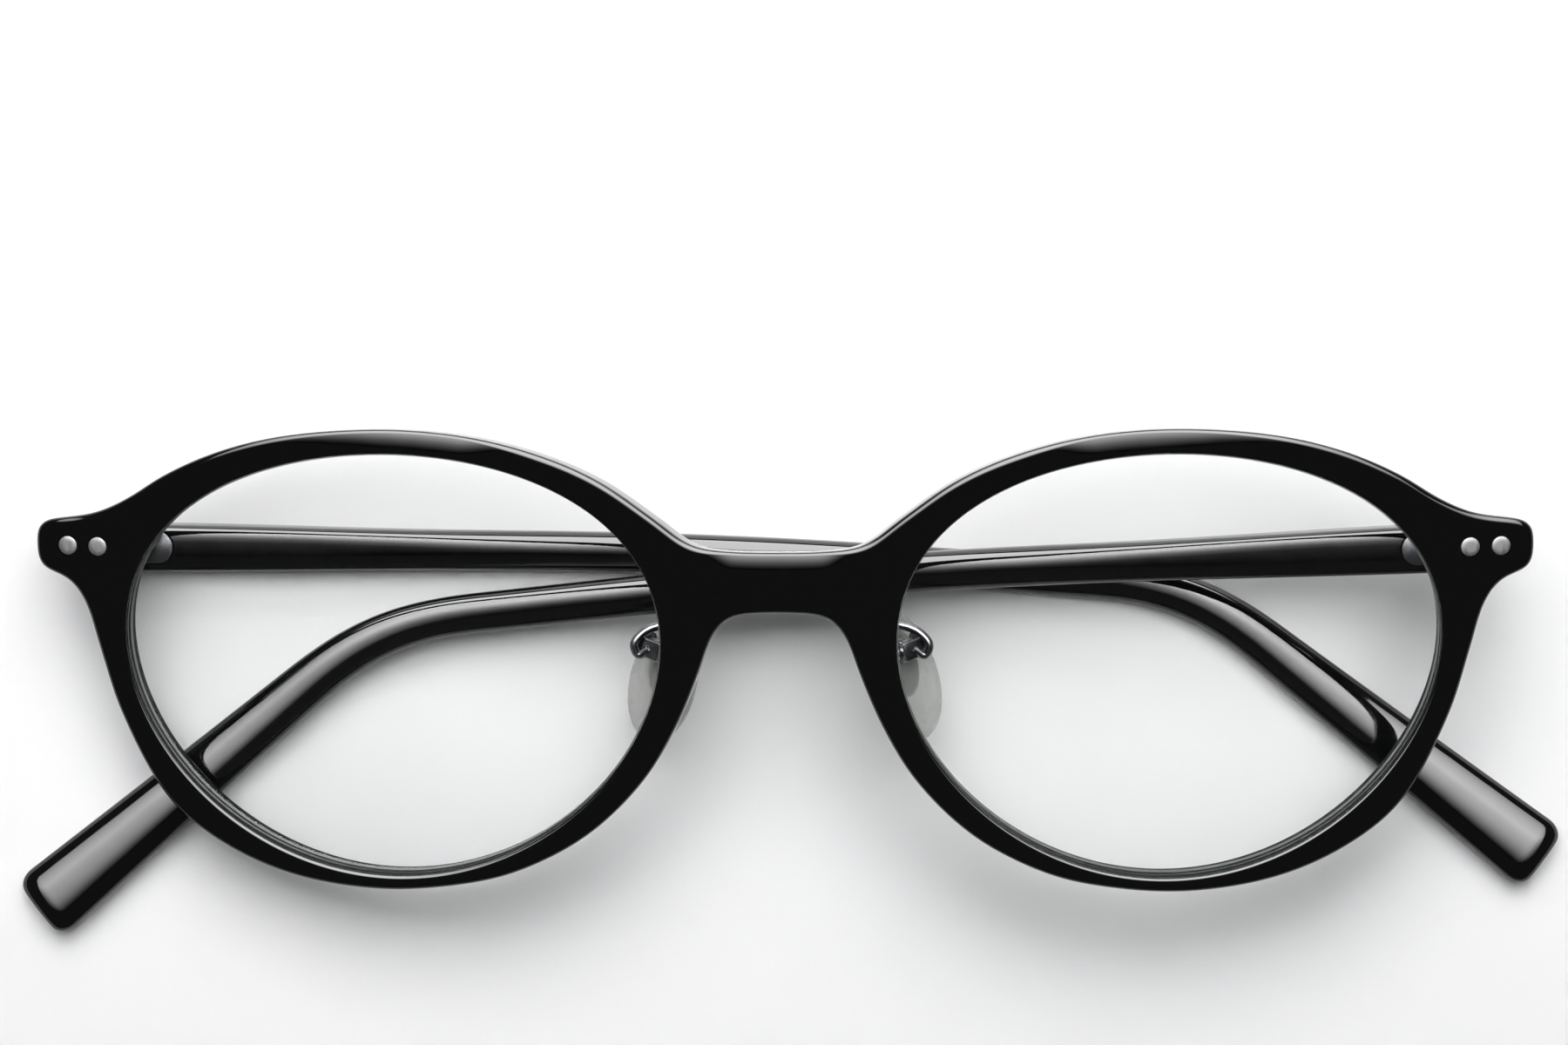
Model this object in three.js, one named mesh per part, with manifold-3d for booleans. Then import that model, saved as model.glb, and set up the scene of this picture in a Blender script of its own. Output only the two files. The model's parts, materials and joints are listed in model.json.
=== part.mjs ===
// Full-rim oval eyeglasses with glossy black acetate front and temples, in millimetres, +Z up.
// They lie folded, front face up, resting on the folded temples.
// The front is drawn in its own frame: X across, Y up the front, Z out of the front face, with the
// middle of the lens openings at Y = 0 and the front face of the bridge at Z = 0.
// Pieces that come in pairs are drawn for the -X side and mirrored for the +X side.
import * as THREE from 'three';
import { mergeVertices } from 'three/addons/utils/BufferGeometryUtils.js';
import Module from 'manifold-3d';

const wasm = await Module();
wasm.setup();

// ---- driving dimensions ----
const rad = THREE.MathUtils.degToRad;

const front = {
  depth: 4.2,
  bevel: 0.45,
  bridgeHalf: 10.7, // flat middle of the front, seen from above
  planRadius: 286, // the front curves back beyond the bridge
  lean: Math.tan(rad(5)), // the rim walls lean outward with each lens
  draft: 0.16, // the upper edge narrows towards the back
  draftBand: [-1.55, -0.5], // from the upper outline, where the draft sets in
};

// The outline's upper and lower runs, from the middle to the end piece and back
const over = [
  [0, 9.8], [4.5, 9.9], [8, 10.45], [11.5, 13], [16.4, 16.45], [21.3, 18.7], [27.9, 20.5],
  [36, 21.25], [46, 20.5], [52.7, 18.75], [58, 16.3], [61.2, 14.2], [64.6, 12.6], [69.1, 11.85],
];
const under = [
  [69.1, 6.78], [67.4, 6.15], [65.9, 4.2], [64.5, -0.5], [62.6, -6.7], [58.2, -14.9],
  [53.2, -18.95], [46.5, -21.8], [38, -23], [30, -22.35], [24.8, -21], [18.2, -17.45],
  [12.8, -12.1], [9.7, -6.9], [7.6, -1.9], [6.2, 1.9], [4.6, 3.6], [2.4, 3.93], [0, 4],
];

const opening = { x: 36.45, y: -0.13, halfWidth: 25.4, halfHeight: 20.27, egg: 1.25 };
const openingSegments = 44;

const lens = { radius: 132, zMiddle: -1.25, thickness: 1.7, edge: 0.5, edgeHalf: 0.06, inset: 0.25 };
const groove = { depth: 0.62, width: 1.5, overlap: 0.02 };

const endPiece = { x: 65.8, y: 8.75 };
endPiece.z = planDrop(endPiece.x);
endPiece.slope = Math.atan((endPiece.x - front.bridgeHalf) / front.planRadius);

const rivet = {
  head: 0.9, shank: 0.55, sink: 0.6, proud: 0.06, bevel: 0.1, gap: 0.08, spacing: 2.95, lift: 0.6,
};
const leaf = { length: 5.2, height: 3.8, thickness: 0.9, inward: 0.5, gap: 0.1 };

const hinge = {
  x: 64.5,
  y: 8.55,
  z: -11.5,
  lean: rad(5), // the temples angle down when open
  barrel: 1.3,
  pin: 0.5,
  pinGap: 0.08,
  knuckle: 0.66,
  pitch: 0.735,
  webHalf: 1.1,
  frontWeb: 2.9, // how far the knuckles reach towards the front leaf
  templeWeb: 1.7, // and towards the temple leaf
  frontLevels: [-2, 0, 2],
  templeLevels: [-1, 1],
};
const screwHead = { neck: 0.85, radius: 0.95, height: 0.5, slotDepth: 0.22, slotHalf: 0.13 };
// How the two temples lie when folded: opened by this much from flat, and drooping in the plane
const rest = {
  right: { fold: rad(3.4), droop: rad(0.9) }, // wearer's right, at -X, outer temple
  left: { fold: rad(0.3), droop: rad(2.55) }, // wearer's left, at +X, inner temple
};

const temple = {
  length: 146,
  drop: -0.95, // its middle line lies this far below the hinge's middle
  inner: -1.75, // inner face, from the hinge axis
  mitreStart: -1.55,
  mitreSlope: 0.2,
  preBend: { turn: rad(3.3), from: 35, to: 80 },
  earBend: { turn: rad(34), from: 93, to: 114 },
  frontHeight: 4.6,
  height: 3.8,
  frontEnd: 34, // the front height tapers down to here
  paddle: { from: 98, grow: 3.35, power: 1.25 }, // the tip grows taller beyond the ear
  frontThickness: 4,
  thickness: 3.25,
  tipThickness: 3.05,
  tipCurve: { from: 60, inward: 4.2 }, // the tip curves in towards the head
  tipRound: 1.4, // the end of the tip is rounded over this length
  twist: { turn: rad(9), from: 88, to: 126 }, // the tip's lower edge turns in towards the head
  squareness: 2.8,
};
const templeLeaf = { start: -1.2, end: 6.1, y: -0.75, half: 1.5, top: -1.45, bottom: -2.05, gap: 0.1 };
const templeRivets = [1.9, 4.2];
const templeRivetProud = -0.03;
const coreWire = {
  start: 5.5, end: 126, thickness: 0.9, height: 1.7, gap: 0.15, endGap: 0.3,
  offset: 1.1, // it starts this far inward of the middle, in the leaf's recess
  level: 16, // and reaches the middle here
};

const pad = {
  x: -11.3,
  y: -4.1,
  z: -9.7,
  frontal: rad(15),
  splay: rad(60),
  half: new THREE.Vector3(3.6, 6.6, 1.4),
  boss: new THREE.Vector3(0, 3, 2.9), // the screw's middle, in the pad's frame
  pin: 0.5,
  coreGap: 0.1,
};
const padCore = { radius: 1.7, length: 2, thickness: 0.55, stem: [1.2, 1.7], eye: 0.85, eyeHalf: 0.6 };
const padArm = {
  wire: 0.42,
  cheek: { radius: 1.3, from: 0.75, thickness: 0.45 },
  back: { height: 1.8, from: 0.95, thickness: 0.5 },
  hole: { x: 8.9, y: 1.2, radius: 0.58, depth: 2.45 },
};
const padScrew = { shank: 0.42, half: 1.3, head: 0.8, top: 0.6, headHeight: 0.45 };

// How the whole object lies on the table
const lie = { tilt: rad(11.5), roll: rad(-2.75) };

// ---- materials ----
function material(colour, roughness, metalness, opacity = 1) {
  return new THREE.MeshStandardMaterial({
    color: colour, roughness, metalness, opacity, transparent: opacity < 1,
  });
}
const acetate = material(0x070708, 0.08, 0);
const clearLens = material(0xf2f6f5, 0.02, 0, 0.15);
const silver = material(0xb8b8ba, 0.35, 1);
const darkMetal = material(0x4a4a4c, 0.3, 1);
const silicone = material(0xd9dcda, 0.25, 0, 0.5);
const clearPlastic = material(0xc9ccca, 0.2, 0, 0.6);

// ---- solids ----
function welded(geometry) {
  const plain = geometry.index ? geometry.clone() : geometry;
  plain.deleteAttribute('normal');
  plain.deleteAttribute('uv');
  return mergeVertices(plain, 1e-4);
}

function toSolid(geometry) {
  const g = welded(geometry);
  return new wasm.Manifold(new wasm.Mesh({
    numProp: 3,
    vertProperties: new Float32Array(g.attributes.position.array),
    triVerts: new Uint32Array(g.index.array),
  }));
}

function toGeometry(solid) {
  const mesh = solid.getMesh();
  const g = new THREE.BufferGeometry();
  const positions = new Float32Array(mesh.numVert * 3);
  for (let i = 0; i < mesh.numVert; i++) {
    for (let k = 0; k < 3; k++) positions[3 * i + k] = mesh.vertProperties[mesh.numProp * i + k];
  }
  g.setAttribute('position', new THREE.BufferAttribute(positions, 3));
  g.setIndex(new THREE.BufferAttribute(new Uint32Array(mesh.triVerts), 1));
  return g;
}

function cut(geometry, tools) {
  let solid = toSolid(geometry);
  for (const tool of tools) solid = solid.subtract(toSolid(tool));
  return toGeometry(solid);
}

function join(geometries) {
  let solid = toSolid(geometries[0]);
  for (const piece of geometries.slice(1)) solid = solid.add(toSolid(piece));
  return toGeometry(solid);
}

function mirrored(geometry) {
  const g = welded(geometry);
  g.scale(-1, 1, 1);
  const index = g.index.array;
  for (let i = 0; i < index.length; i += 3) [index[i], index[i + 1]] = [index[i + 1], index[i]];
  return g;
}

// A closed solid through rings of points, each ring counter-clockwise seen from the last one.
function loft(rings) {
  const n = rings[0].length;
  const points = rings.flat();
  const centre = (ring) => ring.reduce((a, p) => a.add(p), new THREE.Vector3()).divideScalar(n);
  points.push(centre(rings[0]), centre(rings.at(-1)));
  const first = points.length - 2;
  const last = points.length - 1;
  const end = (rings.length - 1) * n;
  const index = [];
  for (let i = 0; i < n; i++) {
    const j = (i + 1) % n;
    index.push(first, j, i, last, end + i, end + j);
    for (let k = 0; k < end; k += n) {
      index.push(k + i, k + j, k + n + j, k + i, k + n + j, k + n + i);
    }
  }
  const g = new THREE.BufferGeometry().setFromPoints(points);
  g.setIndex(index);
  return g;
}

// A turned piece about Z, from [radius, z] steps.
function turned(profile, segments = 12) {
  return loft(profile.map(([radius, z]) => {
    const ring = [];
    for (let i = 0; i < segments; i++) {
      const a = (2 * Math.PI * i) / segments;
      ring.push(new THREE.Vector3(radius * Math.cos(a), radius * Math.sin(a), z));
    }
    return ring;
  }));
}

// The same, standing along Y.
function turnedY(profile, segments = 12) {
  return turned(profile, segments).rotateX(-Math.PI / 2);
}

function box(x0, x1, y0, y1, z0, z1) {
  const g = new THREE.BoxGeometry(x1 - x0, y1 - y0, z1 - z0);
  return g.translate((x0 + x1) / 2, (y0 + y1) / 2, (z0 + z1) / 2);
}

function smooth(x, from, to) {
  return THREE.MathUtils.smoothstep(x, from, to);
}

// ---- front ----
function planDrop(x) {
  const beyond = Math.max(0, Math.abs(x) - front.bridgeHalf);
  return (-beyond * beyond) / (2 * front.planRadius);
}

// The height of the front's upper outline at this distance from the middle.
function topAt(x) {
  const k = Math.max(1, over.findIndex(([px]) => px >= x));
  const [x0, y0] = over[k - 1];
  const [x1, y1] = over[k];
  return THREE.MathUtils.lerp(y0, y1, THREE.MathUtils.clamp((x - x0) / (x1 - x0), 0, 1));
}

// Moves a point of the flat front (z from 0 at the face to -depth) onto the curved front.
function bend(p) {
  const x = Math.abs(p.x);
  const lean = Math.sign(p.x) * front.lean * smooth(x, 2, 11);
  const draft = front.draft * smooth(p.y - topAt(x), ...front.draftBand);
  return p.set(p.x + lean * p.z, p.y + draft * p.z, p.z + planDrop(p.x));
}

function bendGeometry(geometry) {
  const positions = geometry.attributes.position;
  const p = new THREE.Vector3();
  for (let i = 0; i < positions.count; i++) {
    bend(p.fromBufferAttribute(positions, i));
    positions.setXYZ(i, p.x, p.y, p.z);
  }
  return geometry;
}

function openingPoint(angle, grow = 0) {
  const { x, y, halfWidth, halfHeight, egg } = opening;
  const dx = -halfWidth * Math.sin(angle);
  const dy = halfHeight * Math.cos(angle) - 2 * egg * Math.sin(2 * angle);
  const size = Math.hypot(dx, dy);
  return new THREE.Vector2(
    x + halfWidth * Math.cos(angle) + (grow * dy) / size,
    y + halfHeight * Math.sin(angle) + egg * Math.cos(2 * angle) - (grow * dx) / size,
  );
}

function openingLoop(side, grow = 0) {
  const loop = [];
  for (let i = 0; i < openingSegments; i++) {
    const p = openingPoint((2 * Math.PI * i) / openingSegments, grow);
    loop.push(new THREE.Vector2(side * p.x, p.y));
  }
  return side < 0 ? loop.reverse() : loop;
}

function run(points, divisions) {
  const curve = new THREE.CatmullRomCurve3(points.map(([x, y]) => new THREE.Vector3(x, y, 0)));
  return curve.getSpacedPoints(divisions).map((p) => new THREE.Vector2(p.x, p.y));
}

function corner(x, y, radius, from, steps = 4) {
  const arc = [];
  for (let i = 1; i < steps; i++) {
    const a = from - (Math.PI / 2) * (i / steps);
    arc.push(new THREE.Vector2(x + radius * Math.cos(a), y + radius * Math.sin(a)));
  }
  return arc;
}

function outerHalf() {
  const end = [
    ...corner(69.2, 10.65, 1.2, Math.PI / 2),
    new THREE.Vector2(70.4, 10.6),
    new THREE.Vector2(70.4, 8),
    ...corner(69.2, 8, 1.2, 0),
  ];
  return [...run(over, 30), ...end, ...run(under, 38)];
}

function frontBlank() {
  const half = outerHalf();
  const otherHalf = half.slice(1, -1).reverse().map((p) => new THREE.Vector2(-p.x, p.y));
  const shape = new THREE.Shape([...half, ...otherHalf]);
  for (const side of [-1, 1]) shape.holes.push(new THREE.Path(openingLoop(side)));
  const g = new THREE.ExtrudeGeometry(shape, {
    depth: front.depth - 2 * front.bevel,
    bevelThickness: front.bevel,
    bevelSize: front.bevel,
    bevelOffset: -front.bevel,
    bevelSegments: 1,
  });
  g.translate(0, 0, front.bevel - front.depth);
  return bendGeometry(g);
}

// ---- lenses ----
function lensZ(x, y) {
  const across = Math.abs(x) - opening.x;
  return lens.zMiddle - front.lean * across - (across * across + y * y) / (2 * lens.radius);
}

function lensRing(side, grow, scale, offset) {
  return openingLoop(side, grow).map((p) => {
    const x = side * opening.x + (p.x - side * opening.x) * scale;
    const y = p.y * scale;
    const z = lensZ(x, y) + offset;
    return new THREE.Vector3(x + side * front.lean * (z - planDrop(x)), y, z);
  });
}

const lensMidScale = 0.5; // an extra ring halfway to the rim keeps the faces round

function lensSolid(side, half, edge, inset, apex) {
  const rings = [];
  rings.push(
    lensRing(side, 0, lensMidScale, half),
    lensRing(side, -inset, 1, half),
    lensRing(side, edge, 1, apex),
    lensRing(side, edge, 1, -apex),
    lensRing(side, -inset, 1, -half),
    lensRing(side, 0, lensMidScale, -half),
  );
  return loft(rings.reverse());
}

function makeLens(side) {
  return lensSolid(side, lens.thickness / 2, lens.edge, lens.inset, lens.edgeHalf);
}

function grooveTool(side) {
  const { depth, width, overlap } = groove;
  return lensSolid(side, width / 2, depth, overlap - depth, width / 2 - overlap);
}

// ---- end pieces: rivets and the front hinge leaf ----
function endPieceMatrix(side) {
  const m = new THREE.Matrix4().makeRotationY(side * endPiece.slope);
  return m.setPosition(side * endPiece.x, endPiece.y, endPiece.z);
}

function hingeMatrix(side, droop) {
  const turn = new THREE.Euler(-hinge.lean, 0, side * droop);
  const m = new THREE.Matrix4().makeRotationFromEuler(turn);
  return m.setPosition(side * hinge.x, hinge.y, hinge.z);
}

const leafBack = -front.depth * Math.cos(endPiece.slope);

// A rivet's steps from its inner end to its head. With a gap it is the hole, open past the head.
function rivetProfile(gap, inner, proud) {
  const { head, shank, sink, bevel } = rivet;
  const body = [
    [shank + gap, inner - 2 * gap], [shank + gap, -sink - gap], [head + gap, -sink - gap],
  ];
  if (gap) return [...body, [head + gap, proud + 2 * sink]];
  return [...body, [head, proud - bevel], [head - bevel, proud]];
}

function frontRivet(side, k, gap = 0) {
  const inner = leafBack + leaf.thickness + leaf.gap;
  const g = turned(rivetProfile(gap, inner, rivet.proud));
  g.translate(side * rivet.spacing * (k - 0.5), rivet.lift, 0);
  return g.applyMatrix4(endPieceMatrix(side));
}

// Barrels on the hinge axis, each with a web reaching from z0 to z1.
function knuckles(levels, z0, z1) {
  const half = hinge.knuckle / 2;
  return levels.map((level) => {
    const y = level * hinge.pitch;
    const barrel = turnedY([[hinge.barrel, -half], [hinge.barrel, half]], 14).translate(0, y, 0);
    return join([barrel, box(-hinge.webHalf, hinge.webHalf, y - half, y + half, z0, z1)]);
  });
}

function pinHole() {
  const radius = hinge.pin + hinge.pinGap;
  const reach = 3 * hinge.pitch;
  return turnedY([[radius, -reach], [radius, reach]]);
}

function leafPlate(side, gap, back) {
  const across = leaf.length / 2 + gap;
  const up = leaf.height / 2 + gap;
  const plate = box(-across, across, -up, up, back, leafBack + leaf.thickness + gap);
  return plate.translate(-side * leaf.inward, 0, 0).applyMatrix4(endPieceMatrix(side));
}

function frontLeaf(side, droop) {
  const plate = leafPlate(side, 0, leafBack);
  const matrix = hingeMatrix(side, droop);
  const barrels = knuckles(hinge.frontLevels, 0, hinge.frontWeb);
  const teeth = barrels.map((g) => g.applyMatrix4(matrix));
  return cut(join([plate, ...teeth]), [pinHole().applyMatrix4(matrix)]);
}

function hingeScrew() {
  const { neck, radius, height, slotDepth, slotHalf } = screwHead;
  const bevel = radius - neck;
  const under = 2 * hinge.pitch + hinge.knuckle / 2 + hinge.pinGap / 2;
  const top = under + height;
  const screw = turnedY([
    [hinge.pin, -under], [hinge.pin, under], [neck, under], [radius, under + bevel],
    [radius, top - bevel], [neck, top],
  ]);
  return cut(screw, [box(-2 * radius, 2 * radius, top - slotDepth, top + height, -slotHalf, slotHalf)]);
}

// ---- temples, drawn along +X from the hinge axis, inner face towards +Z ----
function heading(s) {
  const { preBend, earBend } = temple;
  return preBend.turn * smooth(s, preBend.from, preBend.to)
    + earBend.turn * smooth(s, earBend.from, earBend.to);
}

// The middle line of a temple in its plane.
const middleLine = [];
for (let s = 0, x = 0, y = temple.drop; s <= temple.length + 1; s++) {
  middleLine.push({ x, y });
  x += Math.cos(heading(s + 0.5));
  y -= Math.sin(heading(s + 0.5));
}

function along(s) {
  if (s <= 0) return { x: s, y: temple.drop };
  const i = Math.floor(s);
  const a = middleLine[i];
  const b = middleLine[i + 1];
  return { x: a.x + (b.x - a.x) * (s - i), y: a.y + (b.y - a.y) * (s - i) };
}

// How far s is from a place along the temple to its end, from 0 to 1.
function beyond(s, from) {
  return Math.max(0, (s - from) / (temple.length - from));
}

function templeHeight(s) {
  const { frontHeight, height, frontEnd, paddle } = temple;
  const straight = frontHeight - (frontHeight - height) * smooth(s, 0, frontEnd);
  return straight + paddle.grow * beyond(s, paddle.from) ** paddle.power;
}

function templeThickness(s) {
  const { frontThickness, thickness, tipThickness } = temple;
  return frontThickness - (frontThickness - thickness) * smooth(s, 8, 60)
    - (thickness - tipThickness) * smooth(s, 100, 140);
}

function templeInner(s) {
  return temple.inner + temple.tipCurve.inward * beyond(s, temple.tipCurve.from) ** 2;
}

// A ring across the temple at s, its middle this far out of the hinge plane.
function templeRing(s, height, thickness, middle, squareness, sides) {
  const { x, y } = along(s);
  const turn = heading(s);
  const twist = temple.twist.turn * smooth(s, temple.twist.from, temple.twist.to);
  const ring = [];
  for (let i = 0; i < sides; i++) {
    const a = (2 * Math.PI * (i + 0.5)) / sides;
    const c = Math.cos(a);
    const d = Math.sin(a);
    const up = (Math.sign(c) * Math.abs(c) ** (2 / squareness) * height) / 2;
    const inward = (Math.sign(d) * Math.abs(d) ** (2 / squareness) * thickness) / 2;
    const h = up * Math.cos(twist) + inward * Math.sin(twist);
    const n = middle + inward * Math.cos(twist) - up * Math.sin(twist);
    ring.push(new THREE.Vector3(x + h * Math.sin(turn), y + h * Math.cos(turn), n));
  }
  return ring;
}

function templeMiddle(s) {
  return templeInner(s) - templeThickness(s) / 2;
}

function templeBlank() {
  const rings = [];
  const ring = (s, lessHeight = 0, lessThickness = 0) => templeRing(s, templeHeight(s) - lessHeight,
    templeThickness(s) - lessThickness, templeMiddle(s), temple.squareness, 12);
  const start = ring(-1);
  for (const p of start) p.x = temple.mitreStart + (temple.inner - p.z) * temple.mitreSlope;
  rings.push(start);
  for (let s = 4; s < 80; s += 12) rings.push(ring(s));
  for (let s = 86; s < 120; s += 3.5) rings.push(ring(s));
  for (let s = 120; s < temple.length - 2; s += 5) rings.push(ring(s));
  const { length, tipRound } = temple;
  rings.push(ring(length - tipRound), ring(length - 0.3 * tipRound, 0.7 * tipRound, 0.6 * tipRound));
  rings.push(ring(length, 2 * tipRound, 1.3 * tipRound));
  return loft(rings);
}

function wireRings(start, end, gap) {
  const rings = [];
  const { height, thickness, offset, level } = coreWire;
  const middle = (s) => templeMiddle(s) + offset * (1 - smooth(s, level / 2, level));
  const ring = (s) => templeRing(s, height + 2 * gap, thickness + 2 * gap, middle(s), 8, 4);
  for (let s = start; s < level; s += 2) rings.push(ring(s));
  for (let s = level; s < 88; s += 12) rings.push(ring(s));
  for (let s = 88; s < end; s += 4) rings.push(ring(s));
  rings.push(ring(end));
  return rings;
}

function makeCoreWire() {
  return loft(wireRings(coreWire.start, coreWire.end, 0));
}

function roundedLeaf(start, end, half, z0, z1) {
  const shape = new THREE.Shape();
  shape.moveTo(start, -half);
  shape.lineTo(end - half, -half);
  shape.absarc(end - half, 0, half, -Math.PI / 2, Math.PI / 2, false);
  shape.lineTo(start, half);
  const options = { depth: z1 - z0, bevelEnabled: false, curveSegments: 8 };
  return new THREE.ExtrudeGeometry(shape, options).translate(0, templeLeaf.y, z0);
}

function templeRivet(s, gap = 0) {
  const outer = templeMiddle(s) - templeThickness(s) / 2;
  const inner = templeLeaf.bottom - templeLeaf.gap;
  const g = turned(rivetProfile(gap, outer - inner, templeRivetProud)).rotateX(Math.PI);
  return g.translate(s, templeLeaf.y, outer);
}

function makeTemple() {
  const { start, end, half, top, bottom, gap } = templeLeaf;
  const { start: wireStart, end: wireEnd, height, gap: wireGap, endGap } = coreWire;
  const recess = roundedLeaf(start - half, end + gap, half + gap, bottom - gap, top + half);
  const channel = loft(wireRings(wireStart - endGap, wireEnd + endGap, wireGap));
  const mouthHalf = height / 2 + wireGap;
  const mouthEnd = end - endGap;
  const mouth = box(wireStart - endGap, mouthEnd, -mouthHalf, mouthHalf, 1.5 * bottom, bottom);
  mouth.translate(0, temple.drop, 0);
  const rivetHoles = templeRivets.map((s) => templeRivet(s, rivet.gap));
  return cut(templeBlank(), [recess, channel, mouth, ...rivetHoles]);
}

function makeTempleLeaf() {
  const { start, end, half, top, bottom } = templeLeaf;
  const plate = roundedLeaf(start, end, half, bottom, top);
  const barrels = knuckles(hinge.templeLevels, -hinge.templeWeb, 0);
  return cut(join([plate, ...barrels]), [pinHole()]);
}

// ---- nose pads, drawn in the pad's own frame: Y along the pad, +Z towards the arm ----
function padMatrix() {
  const turn = new THREE.Euler(0, pad.splay - Math.PI / 2, -pad.frontal, 'ZYX');
  const m = new THREE.Matrix4().makeRotationFromEuler(turn);
  return m.setPosition(pad.x, pad.y, pad.z);
}

// A round piece on the pad's screw axis, from x0 to x1.
function onPadAxis(profile, segments) {
  const { x, y, z } = pad.boss;
  return turned(profile, segments).rotateY(Math.PI / 2).translate(x, y, z);
}

// The hard plate inside the soft pad, with its stem. With a gap it is the pad's pocket.
function padInsert(gap = 0) {
  const { radius, length, thickness, stem } = padCore;
  const half = thickness / 2 + gap;
  const plate = turned([[radius + gap, -half], [radius + gap, half]]);
  plate.scale(1, length, 1).translate(0, pad.boss.y / 2, thickness / 4);
  const [across, up] = stem.map((size) => size / 2 + gap);
  return join([plate, box(-across, across, pad.boss.y - up, pad.boss.y + up, 0, pad.boss.z)]);
}

function makePadCore() {
  const { eye, eyeHalf } = padCore;
  const ring = onPadAxis([[eye, -eyeHalf], [eye, eyeHalf]]);
  return cut(join([padInsert(), ring]), [padPinHole()]);
}

function padPinHole() {
  const reach = 2 * padScrew.half;
  return onPadAxis([[pad.pin, -reach], [pad.pin, reach]]);
}

const padSides = 16;
const padLevels = 6;
const padPoleLevel = 0.995; // the first and last ring stay open
const padFullness = 0.85;
const padTaper = 0.1; // the pad is narrower at the top

function makeNosePad() {
  const rings = [];
  for (let k = 0; k <= padLevels; k++) {
    const t = -1 + (2 * k) / padLevels;
    const level = Math.sin((t * Math.PI) / 2) * padPoleLevel;
    const width = Math.sqrt(1 - level * level) ** padFullness;
    const ring = [];
    for (let i = 0; i < padSides; i++) {
      const a = (2 * Math.PI * i) / padSides;
      const taper = 1 - padTaper * Math.sin(a);
      ring.push(new THREE.Vector3(pad.half.x * width * Math.cos(a) * taper,
        pad.half.y * width * Math.sin(a), pad.half.z * level));
    }
    rings.push(ring);
  }
  return cut(loft(rings), [padInsert(pad.coreGap)]);
}

function padWire() {
  const { x, y, z } = pad.boss;
  const end = new THREE.Vector3(x, y, z + padArm.cheek.radius).applyMatrix4(padMatrix());
  const { x: holeX, y: holeY } = padArm.hole;
  const path = new THREE.CatmullRomCurve3([
    new THREE.Vector3(-holeX, holeY, -2.6), new THREE.Vector3(-holeX, holeY, -4.8),
    new THREE.Vector3(-9.8, 1.6, -6), new THREE.Vector3(-11.3, 1.5, -6.5),
    new THREE.Vector3(-12.9, 0.9, -6.4), new THREE.Vector3(-13.9, -0.3, -6.2),
    new THREE.Vector3(-13.5, -1.3, -6.2), end,
  ]);
  const section = new THREE.Shape();
  section.absarc(0, 0, padArm.wire, 0, 2 * Math.PI, false);
  const options = { steps: 18, curveSegments: 6, extrudePath: path, bevelEnabled: false };
  return new THREE.ExtrudeGeometry(section, options);
}

function makePadArm() {
  const { x, y, z } = pad.boss;
  const { cheek, back } = padArm;
  const half = cheek.from + cheek.thickness;
  const cheeks = [-half, cheek.from].map((from) => onPadAxis(
    [[cheek.radius, from], [cheek.radius, from + cheek.thickness]], 14));
  const backPlate = box(x - half, x + half, y - back.height / 2, y + back.height / 2,
    z + back.from, z + back.from + back.thickness);
  const clevis = cut(join([...cheeks, backPlate]), [padPinHole()]);
  return join([padWire(), clevis.applyMatrix4(padMatrix())]);
}

function makePadScrew() {
  const { shank, half, head, top, headHeight } = padScrew;
  const under = padArm.cheek.from + padArm.cheek.thickness + 0.05;
  return onPadAxis([
    [shank, -half], [shank, under], [head, under], [head, under + headHeight * 0.7],
    [top, under + headHeight],
  ]).applyMatrix4(padMatrix());
}

// ---- assembly ----
function add(group, name, geometry, finish) {
  const mesh = new THREE.Mesh(geometry, finish);
  mesh.name = name;
  group.add(mesh);
}

function pair(group, side, name, geometry, finish) {
  add(group, name, side > 0 ? mirrored(geometry) : geometry, finish);
}

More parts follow.
